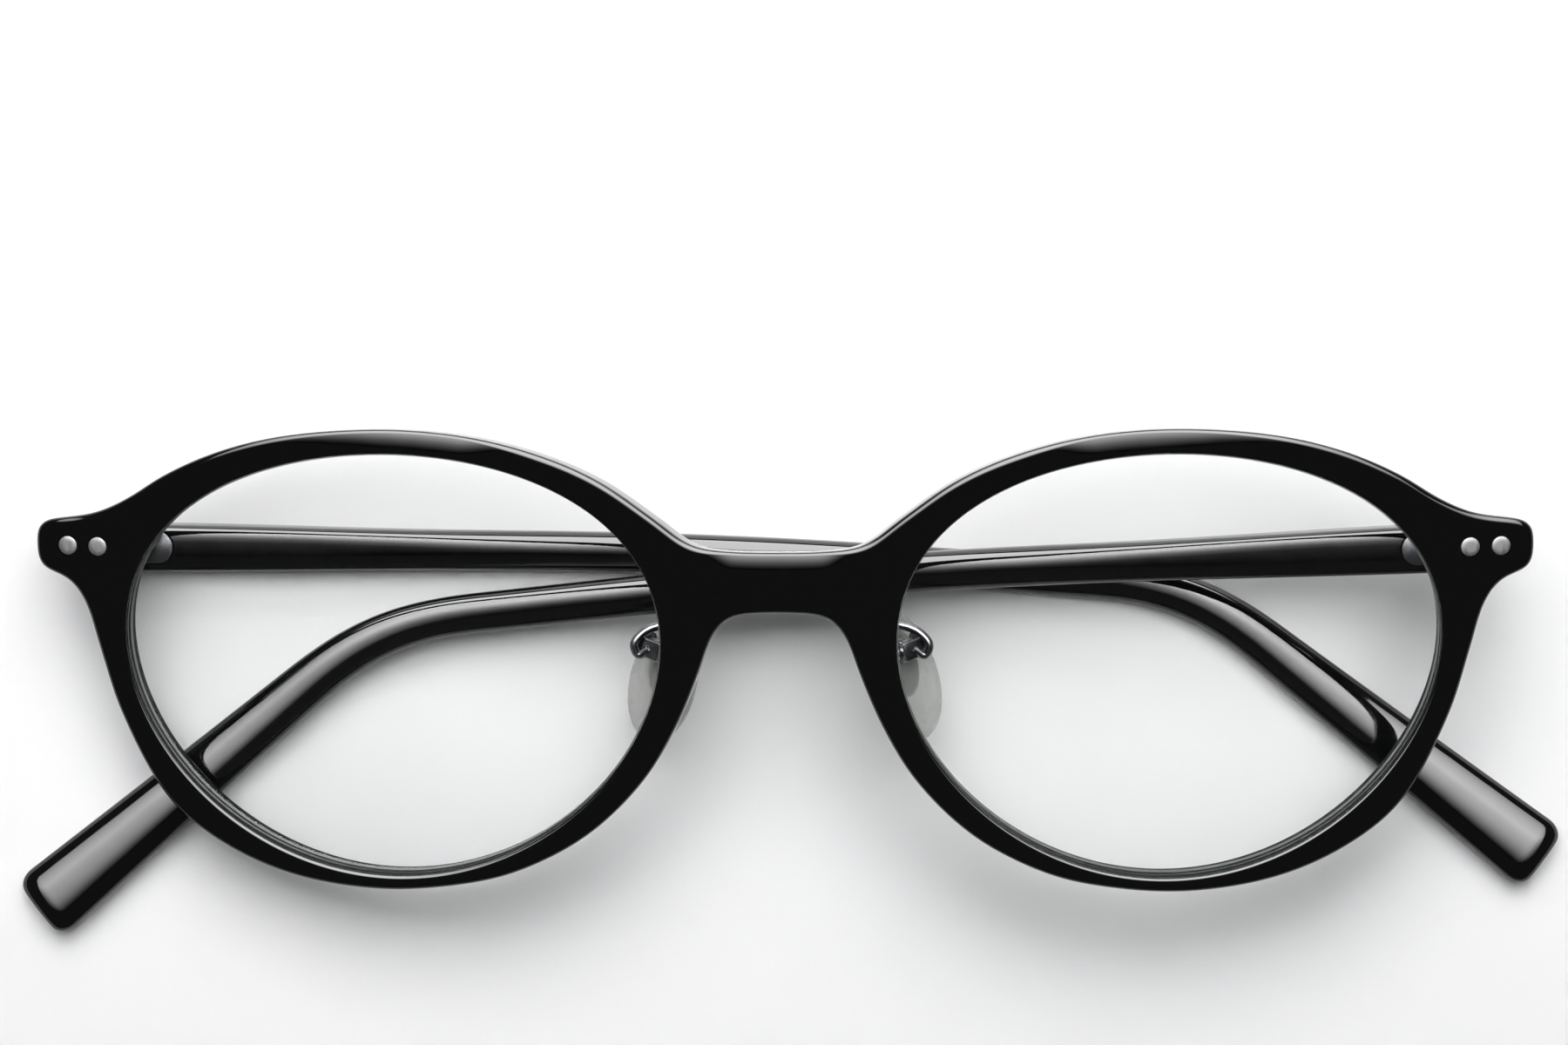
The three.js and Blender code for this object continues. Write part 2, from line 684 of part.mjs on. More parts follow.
const frontGroup = new THREE.Group();
const frontTools = [];
for (const side of [-1, 1]) {
  const wearer = side < 0 ? 'right' : 'left';
  const { fold, droop } = rest[wearer];

  frontTools.push(grooveTool(side), leafPlate(side, leaf.gap, leafBack - 2));
  for (const k of [0, 1]) frontTools.push(frontRivet(side, k, rivet.gap));
  const { x, y, radius, depth } = padArm.hole;
  const armHole = turned([[radius, -2 * front.depth], [radius, -depth]]);
  frontTools.push(armHole.translate(side * x, y, 0));

  add(frontGroup, `lens_${wearer}`, makeLens(side), clearLens);
  add(frontGroup, `front_hinge_leaf_${wearer}`, frontLeaf(side, droop), darkMetal);
  for (const k of [0, 1]) {
    add(frontGroup, `front_rivet_${wearer}_${k ? 'outer' : 'inner'}`, frontRivet(side, k), silver);
  }

  const hingeGroup = new THREE.Group();
  hingeGroup.position.set(side * hinge.x, hinge.y, hinge.z);
  hingeGroup.rotation.set(-hinge.lean, 0, side * droop);
  add(hingeGroup, `hinge_screw_${wearer}`, hingeScrew(), darkMetal);

  const templeGroup = new THREE.Group();
  templeGroup.rotation.y = -side * fold;
  pair(templeGroup, side, `temple_${wearer}`, makeTemple(), acetate);
  pair(templeGroup, side, `temple_core_wire_${wearer}`, makeCoreWire(), silver);
  pair(templeGroup, side, `temple_hinge_leaf_${wearer}`, makeTempleLeaf(), darkMetal);
  templeRivets.forEach((s, k) => {
    pair(templeGroup, side, `temple_rivet_${wearer}_${k ? 'rear' : 'front'}`, templeRivet(s), silver);
  });
  hingeGroup.add(templeGroup);
  frontGroup.add(hingeGroup);

  pair(frontGroup, side, `pad_arm_${wearer}`, makePadArm(), darkMetal);
  pair(frontGroup, side, `pad_screw_${wearer}`, makePadScrew(), silver);
  pair(frontGroup, side, `pad_core_${wearer}`, makePadCore().applyMatrix4(padMatrix()), clearPlastic);
  pair(frontGroup, side, `nose_pad_${wearer}`, makeNosePad().applyMatrix4(padMatrix()), silicone);
}
add(frontGroup, 'front_frame', cut(frontBlank(), frontTools), acetate);

frontGroup.rotation.set(lie.tilt, 0, 0);
const rolled = new THREE.Group();
rolled.rotation.y = lie.roll;
rolled.add(frontGroup);
const glasses = new THREE.Group();
glasses.add(rolled);
glasses.updateMatrixWorld(true);
const bounds = new THREE.Box3().setFromObject(glasses, true);
const middle = bounds.getCenter(new THREE.Vector3());
rolled.position.set(-middle.x, -middle.y, -bounds.min.z);

export default glasses;
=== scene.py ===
import json
import math

import bpy
from mathutils import Matrix, Vector, geometry, kdtree

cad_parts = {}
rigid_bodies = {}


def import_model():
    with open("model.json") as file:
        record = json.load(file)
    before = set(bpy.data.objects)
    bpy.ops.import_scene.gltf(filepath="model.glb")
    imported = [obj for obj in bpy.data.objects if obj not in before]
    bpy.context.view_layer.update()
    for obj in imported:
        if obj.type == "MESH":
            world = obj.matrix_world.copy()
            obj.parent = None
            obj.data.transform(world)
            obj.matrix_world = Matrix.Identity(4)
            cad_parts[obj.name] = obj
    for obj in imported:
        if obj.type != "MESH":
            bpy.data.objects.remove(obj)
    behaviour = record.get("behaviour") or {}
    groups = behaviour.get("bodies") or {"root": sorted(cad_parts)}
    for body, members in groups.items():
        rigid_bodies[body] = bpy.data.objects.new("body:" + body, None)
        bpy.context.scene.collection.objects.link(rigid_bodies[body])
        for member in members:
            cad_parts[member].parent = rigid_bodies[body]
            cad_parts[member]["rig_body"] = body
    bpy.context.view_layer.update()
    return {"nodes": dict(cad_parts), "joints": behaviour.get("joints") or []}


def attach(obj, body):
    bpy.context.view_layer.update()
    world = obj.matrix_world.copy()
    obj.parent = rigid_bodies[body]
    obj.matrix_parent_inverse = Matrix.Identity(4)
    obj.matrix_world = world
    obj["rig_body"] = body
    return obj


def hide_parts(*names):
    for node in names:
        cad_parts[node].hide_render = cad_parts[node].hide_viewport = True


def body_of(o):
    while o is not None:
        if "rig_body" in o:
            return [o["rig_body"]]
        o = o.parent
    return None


# Lengths are in millimetres until a mesh is made, then in metres.
MM = 0.001

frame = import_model()
joints = {j["name"]: j for j in frame["joints"]}

# ---- the front's own frame: X across, Y up the front, Z out of its face, as part.mjs has it ----
LIE_TILT = math.radians(11.5)
LIE_ROLL = math.radians(-2.75)
HINGE = Vector((64.5, 8.55, -11.5))
HINGE_LEAN = math.radians(5)

lie = Matrix.Rotation(LIE_ROLL, 4, "Y") @ Matrix.Rotation(LIE_TILT, 4, "X")
hinge_places = [Vector(joints["temple_fold_" + name]["pos_m"]) for name in ("right", "left")]
hinge_middle = (hinge_places[0] + hinge_places[1]) / 2
shift = hinge_middle - lie @ (Vector((0, HINGE.y, HINGE.z)) * MM)
FRONT = Matrix.Translation(shift) @ lie @ Matrix.Scale(MM, 4)
MIRROR = Matrix.Scale(-1, 4, Vector((1, 0, 0)))

SIDES = {"right": -1, "left": 1}  # the wearer's right is at -X; pieces are drawn for that side
REST = {  # how the temples lie folded: opened from flat, and drooping in their plane
    "right": (math.radians(3.4), math.radians(0.9)),
    "left": (math.radians(0.3), math.radians(2.55)),
}

DEPTH = 4.2
BRIDGE_HALF = 10.7
PLAN_RADIUS = 286
LEAN = math.tan(math.radians(5))
LEAN_BAND = (2, 11)  # the lean sets in over this distance from the middle
DRAFT = 0.16  # the upper edge narrows towards the back
DRAFT_BAND = (-1.55, -0.5)  # from the upper outline, where the draft sets in
OVER = [(0, 9.8), (4.5, 9.9), (8, 10.45), (11.5, 13), (16.4, 16.45), (21.3, 18.7), (27.9, 20.5),
        (36, 21.25), (46, 20.5), (52.7, 18.75), (58, 16.3), (61.2, 14.2), (64.6, 12.6), (69.1, 11.85)]
OPENING = {"x": 36.45, "y": -0.13, "half_width": 25.4, "half_height": 20.27, "egg": 1.25}
LENS = {"radius": 132, "z": -1.25, "thickness": 1.7}


def smooth(x, start, end):
    t = min(1.0, max(0.0, (x - start) / (end - start)))
    return t * t * (3 - 2 * t)


def plan_drop(x):
    beyond = max(0.0, abs(x) - BRIDGE_HALF)
    return -beyond * beyond / (2 * PLAN_RADIUS)


def top_at(x):
    """The height of the front's upper outline at this distance from the middle."""
    for (x0, y0), (x1, y1) in zip(OVER, OVER[1:]):
        if x <= x1:
            return y0 + (y1 - y0) * (x - x0) / (x1 - x0)
    return OVER[-1][1]


def bend(p):
    """A point of the flat front on the curved one."""
    x = abs(p.x)
    lean = math.copysign(LEAN * smooth(x, *LEAN_BAND), p.x)
    draft = DRAFT * smooth(p.y - top_at(x), *DRAFT_BAND)
    return Vector((p.x + lean * p.z, p.y + draft * p.z, p.z + plan_drop(p.x)))


# ---- making pieces ----
def look(name):
    return bpy.data.materials[name]


def make_piece(name, verts, faces, matrix, body, materials, replaces=(), face_slots=None,
               sharp=40):
    mesh = bpy.data.meshes.new(name)
    mesh.from_pydata([matrix @ v for v in verts], [], faces)
    if matrix.to_3x3().determinant() < 0:
        mesh.flip_normals()
    for material in materials:
        mesh.materials.append(look(material))
    if face_slots:
        mesh.polygons.foreach_set("material_index", face_slots)
    mesh.shade_smooth()
    mesh.set_sharp_from_angle(angle=math.radians(sharp))
    mesh.validate()
    piece = bpy.data.objects.new(name, mesh)
    bpy.context.scene.collection.objects.link(piece)
    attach(piece, body)
    if replaces:
        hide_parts(*replaces)
    return piece


class Shells:
    """Closed shells gathered into one mesh."""

    def __init__(self):
        self.verts, self.faces = [], []

    def add(self, verts, faces, matrix=None):
        base = len(self.verts)
        self.verts += [matrix @ v for v in verts] if matrix else list(verts)
        self.faces += [tuple(base + i for i in f) for f in faces]
        return self


def loft(rings, cap_start=True, cap_end=True):
    """A solid through rings of points, each counter-clockwise seen from the next one."""
    n = len(rings[0])
    verts = [v for ring in rings for v in ring]
    faces = []
    for k in range(len(rings) - 1):
        a, b = k * n, (k + 1) * n
        faces += [(a + i, a + (i + 1) % n, b + (i + 1) % n, b + i) for i in range(n)]
    if cap_start:
        faces.append(tuple(reversed(range(n))))
    if cap_end:
        faces.append(tuple(range(len(verts) - n, len(verts))))
    return verts, faces


def turned(profile, segments=32):
    """A turned piece about Z, from (radius, z) steps going up."""
    rings = []
    for radius, z in profile:
        angles = [2 * math.pi * i / segments for i in range(segments)]
        rings.append([Vector((radius * math.cos(a), radius * math.sin(a), z)) for a in angles])
    return loft(rings)


def rounded_bar(radius, z0, z1, edge, steps=4):
    """The profile of a round bar with rounded edges, for turned()."""
    arc = [math.pi / 2 * k / steps for k in range(steps + 1)]
    low = [(radius - edge + edge * math.sin(a), z0 + edge - edge * math.cos(a)) for a in arc]
    high = [(radius - edge + edge * math.cos(a), z1 - edge + edge * math.sin(a)) for a in arc]
    return low + high


def plate(outline, z0, z1, edge, steps=3):
    """A flat plate of this counter-clockwise outline with rounded edges."""
    n = len(outline)
    normals = []
    for i in range(n):
        t = (outline[(i + 1) % n] - outline[i - 1]).normalized()
        normals.append(Vector((-t.y, t.x)))
    rings = []
    for inset, z in rounded_bar(0, z0, z1, edge, steps):
        rings.append([
            Vector((p.x - m.x * inset, p.y - m.y * inset, z)) for p, m in zip(outline, normals)
        ])
    return loft(rings)


SPLINE_STEPS = 24


def spline(points, spacing):
    """Points about this far apart on a centripetal Catmull-Rom curve through the given ones."""
    pts = [Vector(p) for p in points]
    pts = [2 * pts[0] - pts[1], *pts, 2 * pts[-1] - pts[-2]]
    fine = []
    for i in range(1, len(pts) - 2):
        p0, p1, p2, p3 = pts[i - 1:i + 3]
        d0, d1, d2 = [max(1e-6, (b - a).length ** 0.5) for a, b in ((p0, p1), (p1, p2), (p2, p3))]
        t1 = d1 * ((p1 - p0) / d0 - (p2 - p0) / (d0 + d1) + (p2 - p1) / d1)
        t2 = d1 * ((p2 - p1) / d1 - (p3 - p1) / (d1 + d2) + (p3 - p2) / d2)
        for k in range(SPLINE_STEPS):
            t = k / SPLINE_STEPS
            fine.append((2 * t**3 - 3 * t**2 + 1) * p1 + (t**3 - 2 * t**2 + t) * t1
                        + (3 * t**2 - 2 * t**3) * p2 + (t**3 - t**2) * t2)
    fine.append(pts[-2].copy())
    return respaced(fine, spacing)


def respaced(fine, spacing):
    lengths = [0.0]
    for a, b in zip(fine, fine[1:]):
        lengths.append(lengths[-1] + (b - a).length)
    count = max(2, round(lengths[-1] / spacing))
    result = []
    k = 0
    for i in range(count + 1):
        want = lengths[-1] * i / count
        while k < len(fine) - 2 and lengths[k + 1] < want:
            k += 1
        span = lengths[k + 1] - lengths[k]
        result.append(fine[k].lerp(fine[k + 1], (want - lengths[k]) / span if span else 0))
    return result


# ---- materials ----
def new_material(name, colour, roughness, metallic=0.0, **sockets):
    material = bpy.data.materials.new(name)
    material.use_nodes = True
    shader = material.node_tree.nodes["Principled BSDF"]
    shader.inputs["Base Color"].default_value = (*colour, 1)
    shader.inputs["Roughness"].default_value = roughness
    shader.inputs["Metallic"].default_value = metallic
    for socket, value in sockets.items():
        shader.inputs[socket.replace("_", " ")].default_value = value
    return material, material.node_tree, shader


def add_node(tree, kind, **values):
    node = tree.nodes.new(kind)
    for key, value in values.items():
        if key in node.inputs:
            node.inputs[key].default_value = value
        else:
            setattr(node, key, value)
    return node


def noise_on(tree, scale, detail=3.0, stretch=(1, 1, 1), roughness=0.5):
    place = add_node(tree, "ShaderNodeTexCoord")
    mapping = add_node(tree, "ShaderNodeMapping", Scale=stretch)
    tree.links.new(place.outputs["Object"], mapping.inputs["Vector"])
    texture = add_node(tree, "ShaderNodeTexNoise", Scale=scale, Detail=detail, Roughness=roughness)
    tree.links.new(mapping.outputs["Vector"], texture.inputs["Vector"])
    return texture.outputs["Fac"]


def spread(tree, value, low, high, start=0.3, end=0.7):
    """value from start..end, stretched over low..high."""
    node = add_node(tree, "ShaderNodeMapRange")
    for socket, number in (("From Min", start), ("From Max", end), ("To Min", low), ("To Max", high)):
        node.inputs[socket].default_value = number
    tree.links.new(value, node.inputs["Value"])
    return node.outputs["Result"]


def bumped(tree, shader, height, strength, distance):
    bump = add_node(tree, "ShaderNodeBump", Strength=strength, Distance=distance)
    tree.links.new(height, bump.inputs["Height"])
    tree.links.new(bump.outputs["Normal"], shader.inputs["Normal"])


def make_materials():
    # Black acetate: deep gloss, faint polishing ripple, hairline rubs that dull it in places
    _, tree, shader = new_material("acetate_black", (0.0016, 0.0016, 0.0017), 0.06, IOR=1.49)
    rubs = noise_on(tree, 900, 4, (1, 0.25, 1), 0.65)
    tree.links.new(spread(tree, rubs, 0.035, 0.1, 0.4, 0.75), shader.inputs["Roughness"])
    bumped(tree, shader, noise_on(tree, 160, 2), 0.06, 0.0004)

    # The same where it was cut and not polished
    _, tree, shader = new_material("acetate_matt", (0.0022, 0.0022, 0.0023), 0.6, IOR=1.3)
    cuts = noise_on(tree, 1400, 4, (1, 1, 0.1))
    tree.links.new(spread(tree, cuts, 0.55, 0.75), shader.inputs["Roughness"])
    bumped(tree, shader, cuts, 0.2, 0.00008)

    # Metals, with a fine grain along one way
    for name, colour, roughness in (
        ("rivet_silver", (0.22, 0.22, 0.225), 0.5),
        ("screw_silver", (0.72, 0.72, 0.73), 0.2),
        ("dark_nickel", (0.16, 0.16, 0.17), 0.2),
        ("core_steel", (0.5, 0.5, 0.5), 0.35),
    ):
        _, tree, shader = new_material(name, colour, roughness, 1.0)
        grain = noise_on(tree, 2600, 5, (1, 0.12, 1), 0.7)
        low, high = roughness * 0.8, min(1, roughness * 1.35)
        tree.links.new(spread(tree, grain, low, high), shader.inputs["Roughness"])
        bumped(tree, shader, grain, 0.12, 0.00005)

    # Clear silicone: see-through in the middle, milkier towards the edges
    _, tree, shader = new_material("silicone_clear", (0.62, 0.62, 0.61), 0.3, IOR=1.41)
    milk = noise_on(tree, 700, 3)
    tree.links.new(spread(tree, milk, 0.22, 0.36), shader.inputs["Roughness"])
    see_through(tree, shader, (0.88, 0.88, 0.87), milk, 0.2, 0.85)

    # The hard core of a pad: a clear, glossy plastic
    _, tree, shader = new_material("core_plastic", (0.6, 0.6, 0.6), 0.2, IOR=1.49)
    tree.links.new(spread(tree, noise_on(tree, 900, 2), 0.14, 0.26), shader.inputs["Roughness"])
    see_through(tree, shader, (0.95, 0.95, 0.94), noise_on(tree, 500, 2), 0.05, 0.5)

    # Ground edge of the lens: frosted, hazy grey
    _, tree, shader = new_material("lens_ground_edge", (0.3, 0.31, 0.31), 0.5, IOR=1.5)
    frost = noise_on(tree, 2500, 4)
    tree.links.new(spread(tree, frost, 0.4, 0.7), shader.inputs["Roughness"])
    bumped(tree, shader, frost, 0.3, 0.0001)
    see_through(tree, shader, (0.6, 0.62, 0.61), frost, 0.5, 0.85)

    # Coated lens: clear, with a weak mirror from its two faces
    lens = bpy.data.materials.new("lens_clear")
    lens.use_nodes = True
    tree = lens.node_tree
    tree.nodes.remove(tree.nodes["Principled BSDF"])
    clear = add_node(tree, "ShaderNodeBsdfTransparent", Color=(0.997, 0.998, 0.997, 1))
    mirror = add_node(tree, "ShaderNodeBsdfGlossy", Color=(0.86, 0.93, 0.9, 1), Roughness=0.02)
    tree.links.new(spread(tree, noise_on(tree, 60, 4), 0.0, 0.05), mirror.inputs["Roughness"])
    fresnel = add_node(tree, "ShaderNodeFresnel", IOR=1.22)
    mix = add_node(tree, "ShaderNodeMixShader")
    tree.links.new(fresnel.outputs["Fac"], mix.inputs["Fac"])
    tree.links.new(clear.outputs["BSDF"], mix.inputs[1])
    tree.links.new(mirror.outputs["BSDF"], mix.inputs[2])
    tree.links.new(mix.outputs["Shader"], tree.nodes["Material Output"].inputs["Surface"])

    # The table: plain matt white
    _, tree, shader = new_material("table_white", (0.87, 0.87, 0.875), 0.5)
    tree.links.new(spread(tree, noise_on(tree, 12, 3), 0.45, 0.6), shader.inputs["Roughness"])


HAZE = 0.12  # how much the texture adds to the slant


def see_through(tree, shader, tint, texture, middle, edge):
    """Lets this shader be seen through: its share goes from middle, face on, to edge, at a slant."""
    clear = add_node(tree, "ShaderNodeBsdfTransparent", Color=(*tint, 1))
    facing = add_node(tree, "ShaderNodeLayerWeight", Blend=0.45)
    haze = add_node(tree, "ShaderNodeMath", operation="MULTIPLY_ADD")
    tree.links.new(texture, haze.inputs[0])
    haze.inputs[1].default_value = HAZE
    tree.links.new(facing.outputs["Facing"], haze.inputs[2])
    mix = add_node(tree, "ShaderNodeMixShader")
    tree.links.new(spread(tree, haze.outputs["Value"], middle, edge, HAZE / 2, 1), mix.inputs["Fac"])
    tree.links.new(clear.outputs["BSDF"], mix.inputs[1])
    tree.links.new(shader.outputs["BSDF"], mix.inputs[2])
    tree.links.new(mix.outputs["Shader"], tree.nodes["Material Output"].inputs["Surface"])


make_materials()

# ---- the front ----
UNDER = [(69.1, 6.78), (67.4, 6.15), (65.9, 4.2), (64.5, -0.5), (62.6, -6.7), (58.2, -14.9),
         (53.2, -18.95), (46.5, -21.8), (38, -23), (30, -22.35), (24.8, -21), (18.2, -17.45),
         (12.8, -12.1), (9.7, -6.9), (7.6, -1.9), (6.2, 1.9), (4.6, 3.6), (2.4, 3.93), (0, 4)]
END_CORNER = {"x": 69.2, "top": 10.65, "bottom": 8, "radius": 1.2}
EDGE_SPACING = 0.33
SOFTEN = 15  # rounds of evening out along the outline
CORNER_STEPS = 8


def softened(points, rounds):
    """The run of points with its small wobbles evened out, its ends kept."""
    pts = [p.copy() for p in points]
    for _ in range(rounds):
        pts = [pts[0]] + [
            p * 0.5 + (a + b) * 0.25 for a, p, b in zip(pts, pts[1:], pts[2:])
        ] + [pts[-1]]
    return pts


def outer_loop():
    """The front's outline, counter-clockwise."""
    c = END_CORNER
    over = spline([(x, y, 0) for x, y in OVER], EDGE_SPACING)
    corners = []
    for y, start in ((c["top"], 90), (c["bottom"], 0)):
        for k in range(1, CORNER_STEPS):
            a = math.radians(start - 90 * k / CORNER_STEPS)
            across, up = c["radius"] * math.cos(a), c["radius"] * math.sin(a)
            corners.append(Vector((c["x"] + across, y + up, 0)))
    under = spline([(x, y, 0) for x, y in UNDER], EDGE_SPACING)
    half = respaced(over + corners + under, EDGE_SPACING)
    mirrored = [Vector((-p.x, p.y, 0)) for p in half]
    loop = half[:-1] + mirrored[::-1][:-1]
    wrapped = loop[-2 * SOFTEN:] + loop + loop[:2 * SOFTEN]
    return softened(wrapped, SOFTEN)[2 * SOFTEN:-2 * SOFTEN][::-1]


def opening_loop(side):
    """A lens opening, counter-clockwise."""
    o = OPENING
    fine = []
    for degrees in range(0, 721):
        a = math.radians(degrees / 2)
        fine.append(Vector((
            side * (o["x"] + o["half_width"] * math.cos(a)),
            o["y"] + o["half_height"] * math.sin(a) + o["egg"] * math.cos(2 * a), 0)))
    loop = respaced(fine, EDGE_SPACING)[:-1]
    return loop if side > 0 else loop[::-1]


def normals_of(loop, inward):
    """Unit normals of a counter-clockwise loop: to its left, or to its right where inward is False."""
    result = []
    for i in range(len(loop)):
        t = (loop[(i + 1) % len(loop)] - loop[i - 1]).normalized()
        result.append(Vector((-t.y, t.x, 0)) if inward else Vector((t.y, -t.x, 0)))
    return result


NO_DOME = (0.01, 0.0)
INNER_ROUND = (0.28, 0.26, *NO_DOME)
BACK_ROUND = (0.5, 0.45, *NO_DOME)
OUTER_ROUND = {"width": (0.62, 0.32), "depth": (0.5, 0.3)}  # without a dome, and with a full one
DOME = {"width": 1.9, "depth": 0.27}
# Where the two domes rise and fall, from the middle of the front, and how far up they start
BROW_DOME = {"rise": (22, 30), "fall": (34, 58), "up": (8, 15)}
BRIDGE_DOME = {"fall": (4, 9), "up": (6, 9)}


def mixed(pair, share):
    return pair[0] + (pair[1] - pair[0]) * share


def outer_round(p):
    """The round and the shallow dome along the outline at this point: width, depth of each."""
    x = abs(p.x)
    brow, bridge = BROW_DOME, BRIDGE_DOME
    over_lens = smooth(x, *brow["rise"]) * (1 - smooth(x, *brow["fall"])) * smooth(p.y, *brow["up"])
    over_nose = (1 - smooth(x, *bridge["fall"])) * smooth(p.y, *bridge["up"])
    share = max(over_lens, over_nose)
    width, depth = mixed(OUTER_ROUND["width"], share), mixed(OUTER_ROUND["depth"], share)
    return width, depth, DOME["width"] * share + NO_DOME[0], DOME["depth"] * share * share


RING_ANGLES = [math.radians(a) for a in (18, 34, 48, 60, 70, 80, 90)]
DOME_STEPS = (1 / 3, 2 / 3, 1)


def ring_distances(rounds):
    """How far in from an edge the face needs rows of points."""
    width, _, dome, _ = rounds
    return [width * (1 - math.cos(a)) for a in RING_ANGLES] + [width + dome * k for k in DOME_STEPS]


def rounding(distance, rounds):
    """How far below the face the surface is this far in from an edge."""
    width, depth, dome, dome_depth = rounds
    below = 0.0
    if distance < width:
        t = 1 - distance / width
        below += depth * (1 - math.sqrt(max(0.0, 1 - t * t)))
    if distance < width + dome:
        below += dome_depth * (1 - distance / (width + dome)) ** 2
    return below


class Edge:
    """One edge loop of the front: how far points are from it, and its rounding there."""

    def __init__(self, loop, inward, rounding_of):
        self.loop = loop
        self.normals = normals_of(loop, inward)
        self.rounds = [rounding_of(p) for p in loop]
        self.tree = kdtree.KDTree(len(loop))
        for i, p in enumerate(loop):
            self.tree.insert(p, i)
        self.tree.balance()

    def near(self, p):
        """(distance, rounding) at the nearest point of the loop; outside the face it is negative."""
        _, i, _ = self.tree.find(p)
        best, rounds, towards = 1e9, self.rounds[i], None
        n = len(self.loop)
        for a, b in ((i - 1, i), (i, (i + 1) % n)):
            start, end = self.loop[a], self.loop[b]
            span = end - start
            t = min(1.0, max(0.0, (p - start).dot(span) / span.length_squared))
            offset = p - (start + span * t)
            if offset.length < best:
                wa, wb = self.rounds[a], self.rounds[b]
                best = offset.length
                rounds = tuple(u + (v - u) * t for u, v in zip(wa, wb))
                towards = offset.dot(self.normals[i])
        return (best if towards >= 0 else -best), rounds


SHEET = {"slack": 0.01, "from_others": 0.06, "inside": 0.25, "sway": 0.11}


def face_sheet(edges, grid):
    """Points over the face between the edges, finer towards them, and its triangles.

    The edges' own points come first.
    """
    points = [p for e in edges for p in e.loop]
    fixed = len(points)
    segments = []
    base = 0
    for e in edges:
        n = len(e.loop)
        segments += [(base + i, base + (i + 1) % n) for i in range(n)]
        base += n

    for e in edges:
        others = [other for other in edges if other is not e]
        for p, normal, rounds in zip(e.loop, e.normals, e.rounds):
            for distance in ring_distances(rounds):
                q = p + normal * distance
                clear = all(o.near(q)[0] > SHEET["from_others"] for o in others)
                if clear and e.near(q)[0] > distance - SHEET["slack"]:
                    points.append(q)
    xs = [p.x for p in edges[0].loop]
    ys = [p.y for p in edges[0].loop]
    x = min(xs)
    while x < max(xs):
        y = min(ys)
        while y < max(ys):
            q = Vector((x + SHEET["sway"] * math.sin(7 * y), y + SHEET["sway"] * math.sin(5 * x), 0))
            spots = [e.near(q) for e in edges]
            if min(away - rounds[0] - rounds[2] for away, rounds in spots) > SHEET["inside"]:
                points.append(q)
            y += grid
        x += grid
    made = geometry.delaunay_2d_cdt([p.to_2d() for p in points], segments, [], 0, 1e-7)
    flat, triangles, origins = made[0], made[2], made[3]
    new_of = {}
    for new, olds in enumerate(origins):
        for old in olds:
            new_of.setdefault(old, new)
    order = [new_of[i] for i in range(fixed)]
    taken = set(order)
    order += [i for i in range(len(flat)) if i not in taken]
    place = {new: k for k, new in enumerate(order)}
    verts = [Vector((*flat[i], 0)) for i in order]
    kept = []
    for f in triangles:
        tri = tuple(place[i] for i in f)
        middle = (verts[tri[0]] + verts[tri[1]] + verts[tri[2]]) / 3
        if all(e.near(middle)[0] > 0 for e in edges):
            kept.append(tri)
    return verts, kept, fixed


def lens_level(x, y):
    """The middle of the lens at this place of the flat front."""
    across = abs(x) - OPENING["x"]
    level = LENS["z"] - LEAN * across - (across * across + y * y) / (2 * LENS["radius"])
    return level - plan_drop(x)


# The lens groove, as (distance from the middle of the lens, depth into the wall)
GROOVE = [(0.47, 0.0), (0.4, 0.3), (0.12, 0.56), (-0.12, 0.56), (-0.4, 0.3), (-0.47, 0.0)]
WALL_LEVELS = (0.25, 0.5, 0.75)
FACE_GRID, BACK_GRID = 1.1, 1.4


def make_front():
    outer = outer_loop()
    holes = [opening_loop(side) for side in (-1, 1)]
    face_edges = [Edge(outer, True, outer_round)]
    face_edges += [Edge(h, False, lambda p: INNER_ROUND) for h in holes]
    back_edges = [Edge(e.loop, i == 0, lambda p: BACK_ROUND) for i, e in enumerate(face_edges)]

    verts, faces = [], []
    fronts, kept, _ = face_sheet(face_edges, FACE_GRID)
    for p in fronts:
        z = 0.0
        for e in face_edges:
            z -= rounding(*e.near(p))
        verts.append(Vector((p.x, p.y, z)))
    faces += kept
    backs, kept, _ = face_sheet(back_edges, BACK_GRID)
    back_base = len(verts)
    for p in backs:
        z = -DEPTH
        for e in back_edges:
            z += rounding(*e.near(p))
        verts.append(Vector((p.x, p.y, z)))
    faces += [tuple(back_base + i for i in reversed(f)) for f in kept]

    face_slots = [0] * len(faces)
    base = 0
    for k, e in enumerate(face_edges):
        n = len(e.loop)
        rows = [[base + i for i in range(n)]]
        if k:  # the lens groove
            for level, depth in GROOVE:
                row = []
                for p, normal in zip(e.loop, e.normals):
                    z = lens_level(p.x, p.y) + level
                    row.append(len(verts))
                    verts.append(Vector((p.x + normal.x * depth, p.y + normal.y * depth, z)))
                rows.append(row)
        else:
            for t in WALL_LEVELS:
                row = []
                for i in range(n):
                    row.append(len(verts))
                    verts.append(verts[base + i].lerp(verts[back_base + base + i], t))
                rows.append(row)
        rows.append([back_base + base + i for i in range(n)])
        for upper, lower in zip(rows, rows[1:]):
            for i in range(n):
                j = (i + 1) % n
                quad = (upper[i], lower[i], lower[j], upper[j])
                faces.append(quad if k == 0 else quad[::-1])
                face_slots.append(1 if k else 0)
        base += n
    return make_piece("acetate_front", [bend(v) for v in verts], faces, FRONT, "front",
                      ["acetate_black", "acetate_matt"], ["front_frame"], face_slots, sharp=50)


acetate_front = make_front()


# ---- lenses ----
LENS_SCALES = [0.02, 0.2, 0.4, 0.6, 0.8, 0.93]  # the rings of a lens face
LENS_EDGE = {"chamfer": 0.05, "face": -0.22, "wall": -0.16, "bevel": 0.42, "bevel_half": 0.08}


